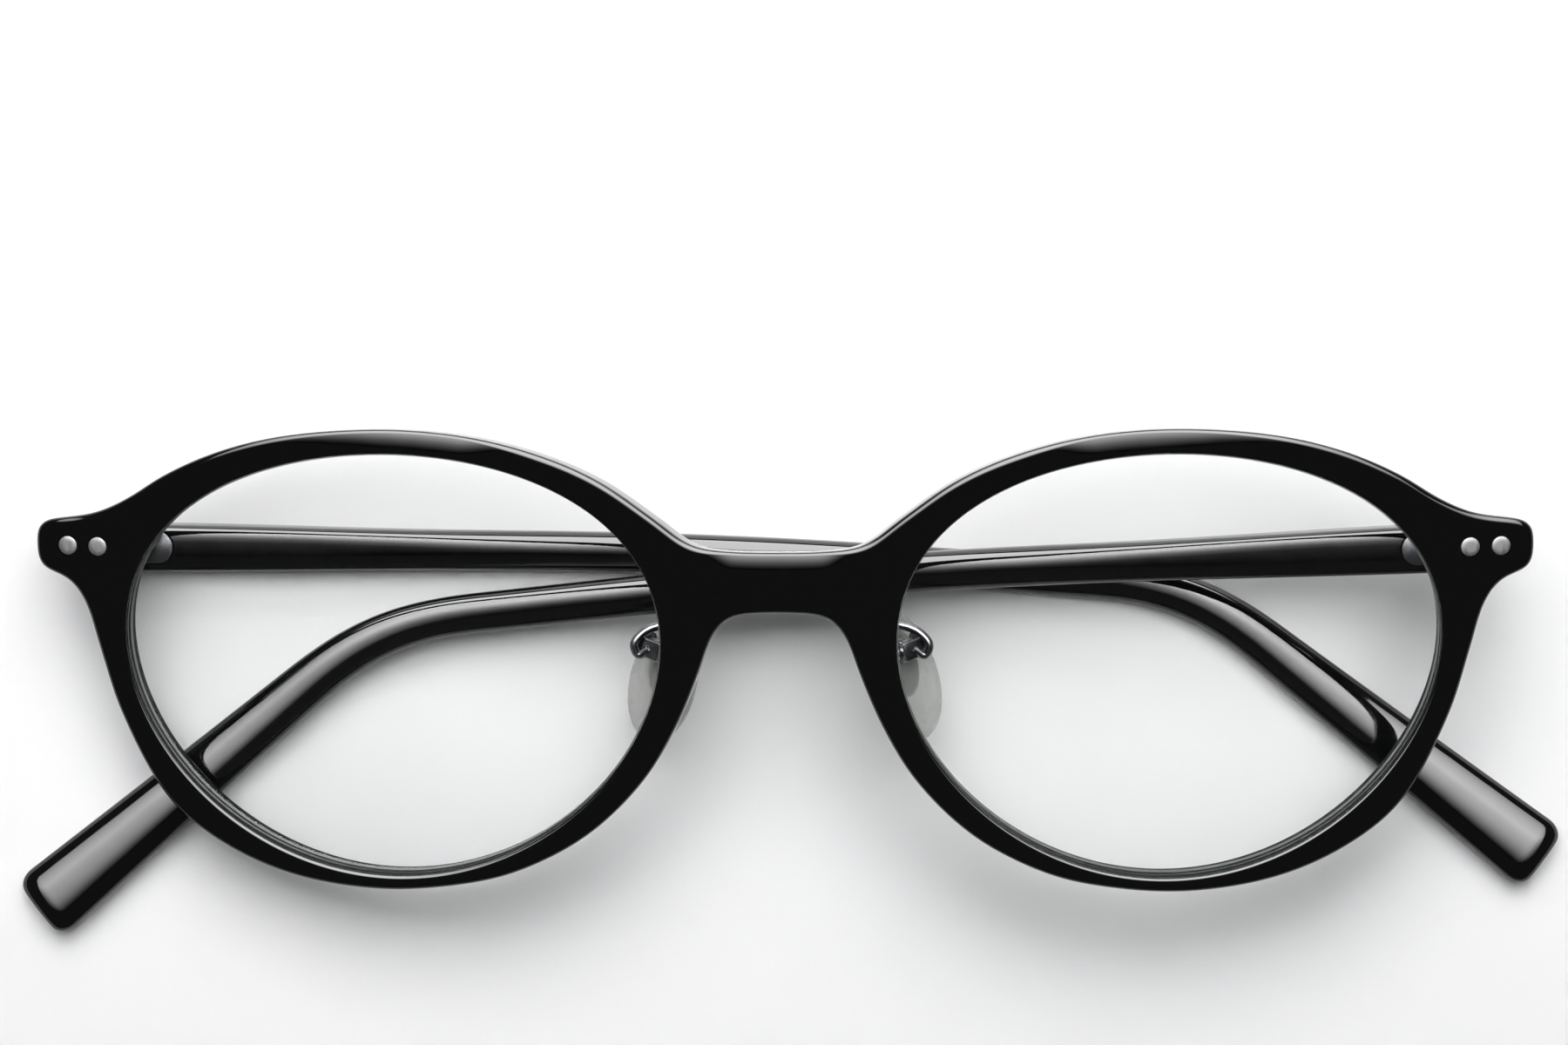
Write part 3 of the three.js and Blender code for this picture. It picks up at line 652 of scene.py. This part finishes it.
def make_lens(name, side):
    edge = Edge(opening_loop(side), False, lambda p: INNER_ROUND)
    centre = Vector((side * OPENING["x"], OPENING["y"], 0))
    half = LENS["thickness"] / 2

    def ring(scale, grow, offset):
        points = []
        for p, normal in zip(edge.loop, edge.normals):
            q = centre + (p + normal * grow - centre) * scale
            z = lens_level(q.x, q.y) + offset
            points.append(bend(Vector((q.x, q.y, z))))
        return points if side > 0 else points[::-1]

    e = LENS_EDGE
    steps = [(e["face"], half), (e["wall"], half - e["chamfer"]), (e["bevel"], e["bevel_half"])]
    rings = [ring(s, 0, half) for s in LENS_SCALES]
    rings += [ring(1, grow, level) for grow, level in steps]
    rings += [ring(1, grow, -level) for grow, level in reversed(steps)]
    rings += [ring(s, 0, -half) for s in reversed(LENS_SCALES)]
    verts, faces = loft(rings[::-1])
    n = len(edge.loop)
    slots = []
    for f in faces:
        strip = f[0] // n
        first = len(LENS_SCALES)
        slots.append(1 if len(f) == 4 and first < strip < first + 4 else 0)
    make_piece(f"lens_{name}_clear", verts, faces, FRONT, "front",
               ["lens_clear", "lens_ground_edge"], [f"lens_{name}"], face_slots=slots, sharp=25)


for name, side in SIDES.items():
    make_lens(name, side)

# ---- temples, drawn along +X from the hinge axis, inner face towards +Z ----
TEMPLE = {"length": 146, "drop": -0.95, "inner": -1.75, "ring_at": -1, "mitre_start": -1.55,
          "mitre_slope": 0.2}
PRE_BEND = (math.radians(3.3), 35, 80)
EAR_BEND = (math.radians(34), 93, 114)
TWIST = (math.radians(11), 88, 126)  # the tip's lower edge turns in towards the head
HEIGHT = {"front": 4.6, "taper": 0.8, "taper_end": 34, "tip_from": 98, "tip_grow": 3.35, "power": 1.25}
THICKNESS = {"front": 3.95, "taper": 0.7, "taper_from": 8, "taper_end": 60, "tip": 0.2}
TIP_THINS = (100, 140)
TIP_CURVE = {"from": 60, "inward": 4.2}  # the tip curves in towards the head
SQUARE = {"front": 5, "less": 2.3, "band": (12, 44), "tip_less": 0.35, "tip_band": (84, 112)}
STEPS_PER_MM = 4


def turned_by(turning, s):
    """How far a turn given as (angle, from, to) has got by s."""
    turn, start, end = turning
    return turn * smooth(s, start, end)


def heading(s):
    return turned_by(PRE_BEND, s) + turned_by(EAR_BEND, s)


middle_line = [Vector((0, TEMPLE["drop"]))]
for step in range((TEMPLE["length"] + 2) * STEPS_PER_MM):
    a = heading((step + 0.5) / STEPS_PER_MM)
    middle_line.append(middle_line[-1] + Vector((math.cos(a), -math.sin(a))) / STEPS_PER_MM)


def along(s):
    if s <= 0:
        return Vector((s, TEMPLE["drop"]))
    i = int(s * STEPS_PER_MM)
    return middle_line[i].lerp(middle_line[i + 1], s * STEPS_PER_MM - i)


def beyond(s, start):
    return max(0.0, (s - start) / (TEMPLE["length"] - start))


def temple_height(s):
    h = HEIGHT
    tip = h["tip_grow"] * beyond(s, h["tip_from"]) ** h["power"]
    return h["front"] - h["taper"] * smooth(s, 0, h["taper_end"]) + tip


def temple_thickness(s):
    t = THICKNESS
    taper = t["taper"] * smooth(s, t["taper_from"], t["taper_end"])
    return t["front"] - taper - t["tip"] * smooth(s, *TIP_THINS)


def temple_middle(s):
    curve = TIP_CURVE["inward"] * beyond(s, TIP_CURVE["from"]) ** 2
    return TEMPLE["inner"] + curve - temple_thickness(s) / 2


def temple_ring(s, less_height=0.0, less_thickness=0.0, sides=56):
    place, turn = along(s), heading(s)
    twist = turned_by(TWIST, s)
    half_height = (temple_height(s) - less_height) / 2
    half_thickness = (temple_thickness(s) - less_thickness) / 2
    q = SQUARE
    square = q["front"] - q["less"] * smooth(s, *q["band"]) - q["tip_less"] * smooth(s, *q["tip_band"])
    ring = []
    for i in range(sides):
        a = 2 * math.pi * (i + 0.5) / sides
        c, d = math.cos(a), math.sin(a)
        up = math.copysign(abs(c) ** (2 / square), c) * half_height
        inward = math.copysign(abs(d) ** (2 / square), d) * half_thickness
        h = up * math.cos(twist) + inward * math.sin(twist)
        n = temple_middle(s) + inward * math.cos(twist) - up * math.sin(twist)
        ring.append(Vector((place.x + h * math.sin(turn), place.y + h * math.cos(turn), n)))
    return ring


MITRE_EDGE = [(0.3, 0.0), (0.09, 0.09), (0.0, 0.3)]  # how the mitred end's edge is broken
TIP_ROUND = {"length": 1.9, "height": 3.0, "thickness": 2.4, "steps": 9}
RING_STEP = 0.75


def temple_solid():
    rings = []
    for inset, back in MITRE_EDGE:
        ring = temple_ring(TEMPLE["ring_at"], 2 * inset, 2 * inset)
        for p in ring:
            p.x = TEMPLE["mitre_start"] + (TEMPLE["inner"] - p.z) * TEMPLE["mitre_slope"] + back
        rings.append(ring)
    s = 0.5
    while s < TEMPLE["length"] - TIP_ROUND["length"] - RING_STEP / 2.5:
        rings.append(temple_ring(s))
        s += RING_STEP
    for k in range(TIP_ROUND["steps"] + 1):
        a = math.pi / 2 * k / TIP_ROUND["steps"]
        less = 1 - math.cos(a)
        at = TEMPLE["length"] - TIP_ROUND["length"] * (1 - math.sin(a))
        rings.append(temple_ring(at, TIP_ROUND["height"] * less, TIP_ROUND["thickness"] * less))
    return loft(rings)


def front_side(name):
    return FRONT @ MIRROR if name == "left" else FRONT


def hinge_matrix(name):
    place = Matrix.Translation(Vector((-HINGE.x, HINGE.y, HINGE.z)))
    droop = Matrix.Rotation(-REST[name][1], 4, "Z")
    return front_side(name) @ place @ Matrix.Rotation(-HINGE_LEAN, 4, "X") @ droop


def temple_matrix(name):
    return hinge_matrix(name) @ Matrix.Rotation(REST[name][0], 4, "Y")


temples = {}
for name in SIDES:
    verts, faces = temple_solid()
    temples[name] = make_piece(
        f"acetate_temple_{name}", verts, faces, temple_matrix(name), f"temple_{name}",
        ["acetate_black"], [f"temple_{name}"], sharp=50)


def carve(piece, cutters):
    """Cuts these closed shapes, (verts, faces, matrix) each and clear of one another, out of a piece."""
    shells = Shells()
    for verts, faces, matrix in cutters:
        if matrix.to_3x3().determinant() < 0:
            faces = [f[::-1] for f in faces]
        shells.add(verts, faces, matrix)
    mesh = bpy.data.meshes.new("cutter")
    mesh.from_pydata(shells.verts, [], shells.faces)
    tool = bpy.data.objects.new("cutter", mesh)
    bpy.context.scene.collection.objects.link(tool)
    cut = piece.modifiers.new("cut", "BOOLEAN")
    cut.object = tool
    cut.operation = "DIFFERENCE"
    cut.solver = "EXACT"
    seen = piece.evaluated_get(bpy.context.evaluated_depsgraph_get())
    made = bpy.data.meshes.new_from_object(seen)
    made.name = piece.data.name
    piece.modifiers.remove(cut)
    piece.data = made
    made.set_sharp_from_angle(angle=math.radians(40))
    bpy.data.objects.remove(tool)


def box_of(low, high, edge=0.0):
    """A box between two corners, its edges along Z rounded."""
    outline = rounded_outline(low[0], high[0], low[1], high[1], max(edge, 0.01))
    return plate(outline, low[2], high[2], max(edge * 0.6, 0.005))


def rounded_outline(x0, x1, y0, y1, radius, steps=5):
    outline = []
    for cx, cy, start in ((x1 - radius, y0 + radius, -90), (x1 - radius, y1 - radius, 0),
                          (x0 + radius, y1 - radius, 90), (x0 + radius, y0 + radius, 180)):
        for k in range(steps + 1):
            a = math.radians(start + 90 * k / steps)
            outline.append(Vector((cx + radius * math.cos(a), cy + radius * math.sin(a))))
    return outline


def ring_of(section, segments=36):
    """A ring about Z from a closed section of (radius, z) points, counter-clockwise."""
    n = len(section)
    verts, faces = [], []
    for k in range(segments):
        a = 2 * math.pi * k / segments
        verts += [Vector((r * math.cos(a), r * math.sin(a), z)) for r, z in section]
        b, c = k * n, (k + 1) % segments * n
        faces += [(b + i, c + i, c + (i + 1) % n, b + (i + 1) % n) for i in range(n)]
    return verts, faces


def barrel_section(hole, radius, half, edge=0.1):
    outer = rounded_bar(radius, -half, half, edge, 3)
    return outer + [(hole, half - 0.04), (hole, 0.04 - half)]


ALONG_Y = Matrix.Rotation(-math.pi / 2, 4, "X")
ALONG_X = Matrix.Rotation(math.pi / 2, 4, "Y")


def detail(name, node, verts, faces, matrix, slot, material, sharp=40):
    """A piece in place of one CAD node, on that node's body."""
    body = body_of(frame["nodes"][node])[0]
    return make_piece(name, verts, faces, matrix, body, [material], [node], sharp=sharp)


# ---- hinges ----
END = {"x": -65.8, "y": 8.75}
END["slope"] = math.atan((-END["x"] - BRIDGE_HALF) / PLAN_RADIUS)
END_MATRIX = Matrix.Translation(Vector((END["x"], END["y"], plan_drop(END["x"])))) \
    @ Matrix.Rotation(-END["slope"], 4, "Y")
LEAF_BACK = -DEPTH * math.cos(END["slope"])
LEAF = {"length": 5.2, "height": 3.8, "thickness": 0.9, "inward": 0.5, "gap": 0.1, "corner": 0.5}
PLATE_EDGE = 0.1
LEAF_EDGE = 0.12
CUT_EDGE = 0.02
BARREL = {"radius": 1.3, "hole": 0.58, "half": 0.33, "pitch": 0.735}
WEB = {"half": 1.1, "near": 0.62, "front": 2.9, "temple": 1.7}
TEMPLE_LEAF = {"start": -1.2, "end": 6.1, "y": -0.75, "half": 1.5, "top": -1.45, "bottom": -2.05}
RIVET = {"head": 0.9, "shank": 0.55, "sink": 0.6, "gap": 0.08, "spacing": 2.95, "lift": 0.6,
         "proud": 0.06, "temple_proud": -0.03, "above_leaf": 1, "cut_to": 1.2}
TEMPLE_RIVETS = {"front": 1.9, "rear": 4.2}
ARM_HOLE = {"x": -8.9, "y": 1.2, "radius": 0.58, "depth": 2.45}
SCREW = {"shank": 0.5, "neck": 0.85, "head": 0.95, "height": 0.5, "slot": 0.22, "slot_half": 0.13,
         "clear": 0.04}


def rivet_profile(inner, proud):
    head, shank, sink = RIVET["head"], RIVET["shank"], RIVET["sink"]
    return [(shank - 0.05, inner), (shank, inner + 0.05), (shank, -sink), (head - 0.04, -sink),
            (head, 0.04 - sink), (head, proud - 0.1), (head - 0.025, proud - 0.055),
            (head - 0.09, proud - 0.02), (0.45, proud - 0.004), (0.1, proud)]


def rivet_hole(inner, out):
    head, shank, sink, gap = RIVET["head"], RIVET["shank"], RIVET["sink"], RIVET["gap"]
    return [(shank + gap, inner - gap), (shank + gap, -sink - gap), (head + gap, -sink - gap),
            (head + gap, out)]


def knuckles(shells, levels, z0, z1):
    """Barrels at these levels of the hinge's axis, and their webs from z0 to z1 above it."""
    half = BARREL["half"]
    section = barrel_section(BARREL["hole"], BARREL["radius"], half)
    for level in levels:
        place = Matrix.Translation(Vector((0, level * BARREL["pitch"], 0)))
        shells.add(*ring_of(section), place @ ALONG_Y)
        thick = half - CUT_EDGE
        web = box_of((-WEB["half"], z0, -thick), (WEB["half"], z1, thick), LEAF_EDGE)
        shells.add(*web, place @ Matrix.Rotation(math.pi / 2, 4, "X"))


def leaf_outline(grow=0.0):
    across, up = LEAF["length"] / 2 + grow, LEAF["height"] / 2 + grow
    return rounded_outline(LEAF["inward"] - across, LEAF["inward"] + across, -up, up, LEAF["corner"])


def temple_leaf_outline(grow=0.0):
    leaf = TEMPLE_LEAF
    radius = leaf["half"] + grow
    arc = [math.radians(a) for a in range(-90, 91, 10)]
    x = leaf["end"] - leaf["half"]
    outline = [Vector((x + radius * math.cos(a), leaf["y"] + radius * math.sin(a))) for a in arc]
    start = leaf["start"] - grow * 12  # a grown outline, for cutting, runs out of the temple's end
    return outline + [Vector((start, leaf["y"] + radius)), Vector((start, leaf["y"] - radius))]


front_cuts, rivet_cuts = [], []
for name in SIDES:
    side = front_side(name)
    hinge = hinge_matrix(name)
    temple = temple_matrix(name)
    # the front's leaf: a sunk plate with three barrels
    shells = Shells()
    verts, faces = plate(leaf_outline(), LEAF_BACK, LEAF_BACK + LEAF["thickness"], PLATE_EDGE)
    shells.add(verts, faces, END_MATRIX)
    teeth = Shells()
    knuckles(teeth, (-2, 0, 2), WEB["near"], WEB["front"])
    shells.add(teeth.verts, teeth.faces, side.inverted() @ hinge)
    detail(f"hinge_leaf_front_{name}", f"front_hinge_leaf_{name}", shells.verts, shells.faces, side,
           "hinge_metal", "dark_nickel")
    pocket_floor = LEAF_BACK + LEAF["thickness"] + LEAF["gap"]
    verts, faces = plate(leaf_outline(LEAF["gap"]), LEAF_BACK - 2, pocket_floor, CUT_EDGE)
    front_cuts.append((verts, faces, side @ END_MATRIX))
    for k, place in ((0, "inner"), (1, "outer")):
        across = RIVET["spacing"] * (0.5 - k)
        spot = END_MATRIX @ Matrix.Translation(Vector((across, RIVET["lift"], 0)))
        verts, faces = turned(rivet_profile(LEAF_BACK + RIVET["above_leaf"], RIVET["proud"]))
        detail(f"rivet_{name}_{place}", f"front_rivet_{name}_{place}", verts, faces, side @ spot,
               "rivet_steel", "rivet_silver", sharp=30)
        verts, faces = turned(rivet_hole(LEAF_BACK + RIVET["above_leaf"], RIVET["cut_to"]), 40)
        rivet_cuts.append((verts, faces, side @ spot))
    arm_hole = [(ARM_HOLE["radius"], -2 * DEPTH), (ARM_HOLE["radius"], -ARM_HOLE["depth"])]
    place = Matrix.Translation(Vector((ARM_HOLE["x"], ARM_HOLE["y"], 0)))
    front_cuts.append((*turned(arm_hole, 24), side @ place))

    # the temple's leaf: a long tongue with two barrels
    shells = Shells()
    shells.add(*plate(temple_leaf_outline(), TEMPLE_LEAF["bottom"], TEMPLE_LEAF["top"], LEAF_EDGE))
    knuckles(shells, (-1, 1), -WEB["temple"], -WEB["near"])
    detail(f"hinge_leaf_temple_{name}", f"temple_hinge_leaf_{name}", shells.verts, shells.faces,
           temple, "hinge_metal", "dark_nickel")
    pocket = plate(temple_leaf_outline(LEAF["gap"]), TEMPLE_LEAF["bottom"] - LEAF["gap"], 0, CUT_EDGE)
    carve(temples[name], [(*pocket, temple)])
    temple_cuts = []
    for place, s in TEMPLE_RIVETS.items():
        outer = temple_middle(s) - temple_thickness(s) / 2
        inner = outer - TEMPLE_LEAF["bottom"] + LEAF["gap"]
        spot = temple @ Matrix.Translation(Vector((s, TEMPLE_LEAF["y"], outer))) \
            @ Matrix.Rotation(math.pi, 4, "X")
        detail(f"temple_pin_{name}_{place}", f"temple_rivet_{name}_{place}",
               *turned(rivet_profile(inner, RIVET["temple_proud"])), spot, "rivet_steel",
               "rivet_silver", sharp=30)
        temple_cuts.append((*turned(rivet_hole(inner, RIVET["cut_to"]), 40), spot))
    carve(temples[name], temple_cuts)

    # the hinge screw, slotted
    under = 2 * BARREL["pitch"] + BARREL["half"] + SCREW["clear"]
    shank, neck, head = SCREW["shank"], SCREW["neck"], SCREW["head"]
    top = under + SCREW["height"]
    profile = [(shank - 0.08, -under), (shank, 0.08 - under), (shank, under), (neck, under),
               (head, under + 0.1), (head, top - 0.12), (head - 0.04, top - 0.04), (neck - 0.05, top)]
    screw = detail(f"hinge_pin_{name}", f"hinge_screw_{name}", *turned(profile), hinge @ ALONG_Y,
                   "screw_steel", "screw_silver", sharp=30)
    slot = box_of((-2 * head, -SCREW["slot_half"], top - SCREW["slot"]),
                  (2 * head, SCREW["slot_half"], top + 1))
    carve(screw, [(*slot, hinge @ ALONG_Y)])

carve(acetate_front, front_cuts)
carve(acetate_front, rivet_cuts)

# ---- nose pads, drawn in the pad's own frame: Y along the pad, +Z towards the arm ----
PAD = {"x": -11.3, "y": -4.1, "z": -9.7, "frontal": math.radians(15), "splay": math.radians(60)}
PAD_HALF = Vector((3.6, 6.6, 1.4))
PAD_TAPER = 0.1  # the pad is narrower at the top
BOSS = Vector((0, 3, 2.9))
PAD_CORE = {"radius": 1.7, "length": 2, "thickness": 0.55, "across": 0.6, "up": 0.85, "eye": 0.85,
            "eye_half": 0.6, "hole": 0.5, "gap": 0.1, "edge": 0.12}
PAD_ARM = {"wire": 0.42, "cheek": 1.3, "from": 0.75, "thickness": 0.45, "back": 0.95, "height": 0.9,
           "back_thickness": 0.5, "edge": 0.2}
PAD_SCREW = {"shank": 0.42, "start": -1.3, "head": 0.8, "clear": 0.05, "height": 0.45, "slot": 0.2,
             "slot_half": 0.1}
PAD_LEVELS = 26
PAD_FULLNESS = 0.85  # how boxy the pad's edge is
# The arm's wire, from its foot in the rim, out round the back of the pad
WIRE_BENDS = [(-8.9, 1.2, -2.6), (-8.9, 1.2, -4.8), (-9.8, 1.6, -6), (-11.3, 1.5, -6.5),
              (-12.9, 0.9, -6.4), (-13.9, -0.3, -6.2), (-13.5, -1.3, -6.2)]
WIRE_SPACING = 0.2
pad_matrix = Matrix.Translation(Vector((PAD["x"], PAD["y"], PAD["z"]))) \
    @ Matrix.Rotation(-PAD["frontal"], 4, "Z") @ Matrix.Rotation(PAD["splay"] - math.pi / 2, 4, "Y")
boss_matrix = pad_matrix @ Matrix.Translation(BOSS)


def pad_ring(scale, level, sides=64):
    ring = []
    for i in range(sides):
        a = 2 * math.pi * i / sides
        taper = 1 - PAD_TAPER * math.sin(a)
        across = PAD_HALF.x * scale * math.cos(a) * taper
        ring.append(Vector((across, PAD_HALF.y * scale * math.sin(a), level)))
    return ring


def pad_solid():
    rings = []
    for k in range(PAD_LEVELS + 1):
        t = -1 + 2 * k / PAD_LEVELS
        level = math.sin(t * math.pi / 2) * 0.998
        scale = math.sqrt(1 - level * level) ** PAD_FULLNESS
        rings.append(pad_ring(scale, PAD_HALF.z * level))
    return loft(rings)


def core_plate(grow=0.0):
    rings = []
    half = PAD_CORE["thickness"] / 2 + grow
    angles = [2 * math.pi * i / 48 for i in range(48)]
    for radius, z in rounded_bar(PAD_CORE["radius"] + grow, -half, half, PAD_CORE["edge"]):
        long = radius * PAD_CORE["length"]
        level = z + PAD_CORE["thickness"] / 4
        rings.append([
            Vector((radius * math.cos(a), long * math.sin(a) + BOSS.y / 2, level)) for a in angles
        ])
    return loft(rings)


def stem(grow=0.0, top=BOSS.z - 0.6):
    across, up = PAD_CORE["across"] + grow, PAD_CORE["up"] + grow
    return box_of((-across, BOSS.y - up, 0), (across, BOSS.y + up, top), 0.15)


def wire_path():
    end = pad_matrix @ (BOSS + Vector((0, 0, PAD_ARM["cheek"])))
    return spline([*WIRE_BENDS, tuple(end)], WIRE_SPACING)


def tube(path, radius, sides=18):
    """A round bar along this path."""
    rings = []
    normal = None
    angles = [2 * math.pi * k / sides for k in range(sides)]
    for i, p in enumerate(path):
        t = (path[min(i + 1, len(path) - 1)] - path[max(i - 1, 0)]).normalized()
        if normal is None:
            normal = t.orthogonal().normalized()
        normal = (normal - t * normal.dot(t)).normalized()
        across = t.cross(normal)
        rings.append([p + (normal * math.cos(a) + across * math.sin(a)) * radius for a in angles])
    return loft(rings)


for name in SIDES:
    side = front_side(name)
    pad = detail(f"silicone_pad_{name}", f"nose_pad_{name}", *pad_solid(), side @ pad_matrix,
                 "pad_silicone", "silicone_clear", sharp=60)
    carve(pad, [(*core_plate(PAD_CORE["gap"]), side @ pad_matrix)])
    carve(pad, [(*stem(PAD_CORE["gap"], BOSS.z + PAD_CORE["eye_half"]), side @ pad_matrix)])

    shells = Shells()
    shells.add(*core_plate())
    shells.add(*stem())
    eye = barrel_section(PAD_CORE["hole"], PAD_CORE["eye"], PAD_CORE["eye_half"], PAD_CORE["edge"])
    shells.add(*ring_of(eye), Matrix.Translation(BOSS) @ ALONG_X)
    detail(f"pad_insert_{name}", f"pad_core_{name}", shells.verts, shells.faces, side @ pad_matrix,
           "pad_core_plastic", "core_plastic")

    # the arm: a bent wire ending in a small box round the pad's stem
    shells = Shells()
    shells.add(*tube(wire_path(), PAD_ARM["wire"]))
    outer = PAD_ARM["from"] + PAD_ARM["thickness"]
    half = PAD_ARM["thickness"] / 2
    cheek = barrel_section(PAD_CORE["hole"], PAD_ARM["cheek"], half, PAD_CORE["edge"])
    for x in (-1, 1):
        place = Matrix.Translation(Vector((x * (PAD_ARM["from"] + half), 0, 0)))
        shells.add(*ring_of(cheek), boss_matrix @ place @ ALONG_X)
    up, back = PAD_ARM["height"], PAD_ARM["back"]
    box = box_of((-outer, -up, back), (outer, up, back + PAD_ARM["back_thickness"]), PAD_ARM["edge"])
    shells.add(*box, boss_matrix)
    detail(f"pad_wire_{name}", f"pad_arm_{name}", shells.verts, shells.faces, side, "arm_metal",
           "dark_nickel")

    # the pad's screw, its head domed and slotted
    under = outer + PAD_SCREW["clear"]
    shank, head, top = PAD_SCREW["shank"], PAD_SCREW["head"], under + PAD_SCREW["height"]
    profile = [(shank - 0.04, PAD_SCREW["start"]), (shank, PAD_SCREW["start"] + 0.04), (shank, under),
               (head - 0.02, under), (head, under + 0.05), (head, top - 0.17),
               (head - 0.1, top - 0.07), (head / 2, top - 0.01), (head / 8, top)]
    screw = detail(f"pad_pin_{name}", f"pad_screw_{name}", *turned(profile),
                   side @ boss_matrix @ ALONG_X, "screw_steel", "screw_silver", sharp=30)
    slot = box_of((-1, -PAD_SCREW["slot_half"], top - PAD_SCREW["slot"]),
                  (1, PAD_SCREW["slot_half"], top + 1))
    carve(screw, [(*slot, side @ boss_matrix @ ALONG_X)])

# ---- CAD nodes that stay as they are ----
for node, piece in frame["nodes"].items():
    if node.startswith("temple_core_wire"):
        piece.data.materials.clear()
        piece.data.materials.append(look("core_steel"))


# ---- floor, light and camera ----
def stage_plane(name, corners, material):
    mesh = bpy.data.meshes.new(name)
    mesh.from_pydata(corners, [], [(0, 1, 2, 3)])
    mesh.materials.append(material)
    plane = bpy.data.objects.new(name, mesh)
    bpy.context.scene.collection.objects.link(plane)
    return plane


FLOOR_HALF = 4.0
stage_plane("floor", [Vector((x * FLOOR_HALF, y * FLOOR_HALF, 0))
                      for x, y in ((-1, -1), (1, -1), (1, 1), (-1, 1))], look("table_white"))

# A wide panel from overhead to beyond the upper edge of the table, dimmer overhead: the gloss
# reflects it
SOFTBOX = {"from_top": 30, "distance": 0.9, "half_width": 0.8, "half_height": 0.9, "light": 15.0}
SOFTBOX_FADE = (-0.9, -0.25)  # metres from its middle, where it brightens from nothing to all of it
SOFTBOX_CURVE = 2.0
SOFTBOX_SIDES = (0.3, 0.8, 0.35)  # it dims from this far out to its sides, down to this share
# A smaller panel in the same direction, which casts the soft shadows
KEY = {"from_top": 30, "distance": 0.9, "half": 0.42, "light": 16.0}


def glowing(name, strength):
    """A material that only glows; strength is a number, or gives a socket for it in the tree."""
    glow = bpy.data.materials.new(name)
    glow.use_nodes = True
    tree = glow.node_tree
    tree.nodes.remove(tree.nodes["Principled BSDF"])
    light = add_node(tree, "ShaderNodeEmission")
    if callable(strength):
        tree.links.new(strength(tree), light.inputs["Strength"])
    else:
        light.inputs["Strength"].default_value = strength
    tree.links.new(light.outputs["Emission"], tree.nodes["Material Output"].inputs["Surface"])
    return glow


def softbox_strength(tree):
    place = add_node(tree, "ShaderNodeTexCoord")
    parts = add_node(tree, "ShaderNodeSeparateXYZ")
    tree.links.new(place.outputs["Object"], parts.inputs["Vector"])
    fade = add_node(tree, "ShaderNodeMath", operation="POWER")
    fade.inputs[1].default_value = SOFTBOX_CURVE
    tree.links.new(spread(tree, parts.outputs["Y"], 0.0, 1.0, *SOFTBOX_FADE), fade.inputs[0])
    sideways = add_node(tree, "ShaderNodeMath", operation="ABSOLUTE")
    tree.links.new(parts.outputs["X"], sideways.inputs[0])
    start, end, share = SOFTBOX_SIDES
    both = add_node(tree, "ShaderNodeMath", operation="MULTIPLY")
    tree.links.new(fade.outputs["Value"], both.inputs[0])
    tree.links.new(spread(tree, sideways.outputs["Value"], SOFTBOX["light"], SOFTBOX["light"] * share,
                          start, end), both.inputs[1])
    return both.outputs["Value"]


def lamp(name, half_width, half_height, from_top, distance, strength):
    """A glowing panel that faces the table's middle, tipped towards its upper edge."""
    corners = [Vector((x * half_width, y * half_height, 0))
               for x, y in ((-1, -1), (1, -1), (1, 1), (-1, 1))]
    panel = stage_plane(name, corners, glowing(name + "_glow", strength))
    a = math.radians(from_top)
    panel.location = Vector((0, math.sin(a), math.cos(a))) * distance
    panel.rotation_euler = (-a, 0, 0)
    panel.visible_camera = False
    return panel


softbox = lamp("softbox", SOFTBOX["half_width"], SOFTBOX["half_height"], SOFTBOX["from_top"],
               SOFTBOX["distance"], softbox_strength)
softbox.visible_diffuse = False
key = lamp("key_light", KEY["half"], KEY["half"], KEY["from_top"], KEY["distance"], KEY["light"])
key.visible_glossy = False

ROOM_LIGHT = 0.09
world = bpy.data.worlds.new("studio")
world.use_nodes = True
background = world.node_tree.nodes["Background"]
background.inputs["Color"].default_value = (1, 1, 1, 1)
background.inputs["Strength"].default_value = ROOM_LIGHT
bpy.context.scene.world = world
bpy.context.scene.view_settings.view_transform = "Standard"

# The camera, straight above; the offsets and heights are in metres
CAMERA = {"lens": 131.05, "sensor": 36, "right": 0.00007, "up": 0.00177, "height": 0.55}
camera_data = bpy.data.cameras.new("camera")
camera_data.lens = CAMERA["lens"]
camera_data.sensor_width = CAMERA["sensor"]
camera_data.clip_start = 0.01
camera = bpy.data.objects.new("camera", camera_data)
bpy.context.scene.collection.objects.link(camera)
camera.location = (hinge_middle.x + CAMERA["right"], hinge_middle.y + CAMERA["up"], CAMERA["height"])
bpy.context.scene.camera = camera
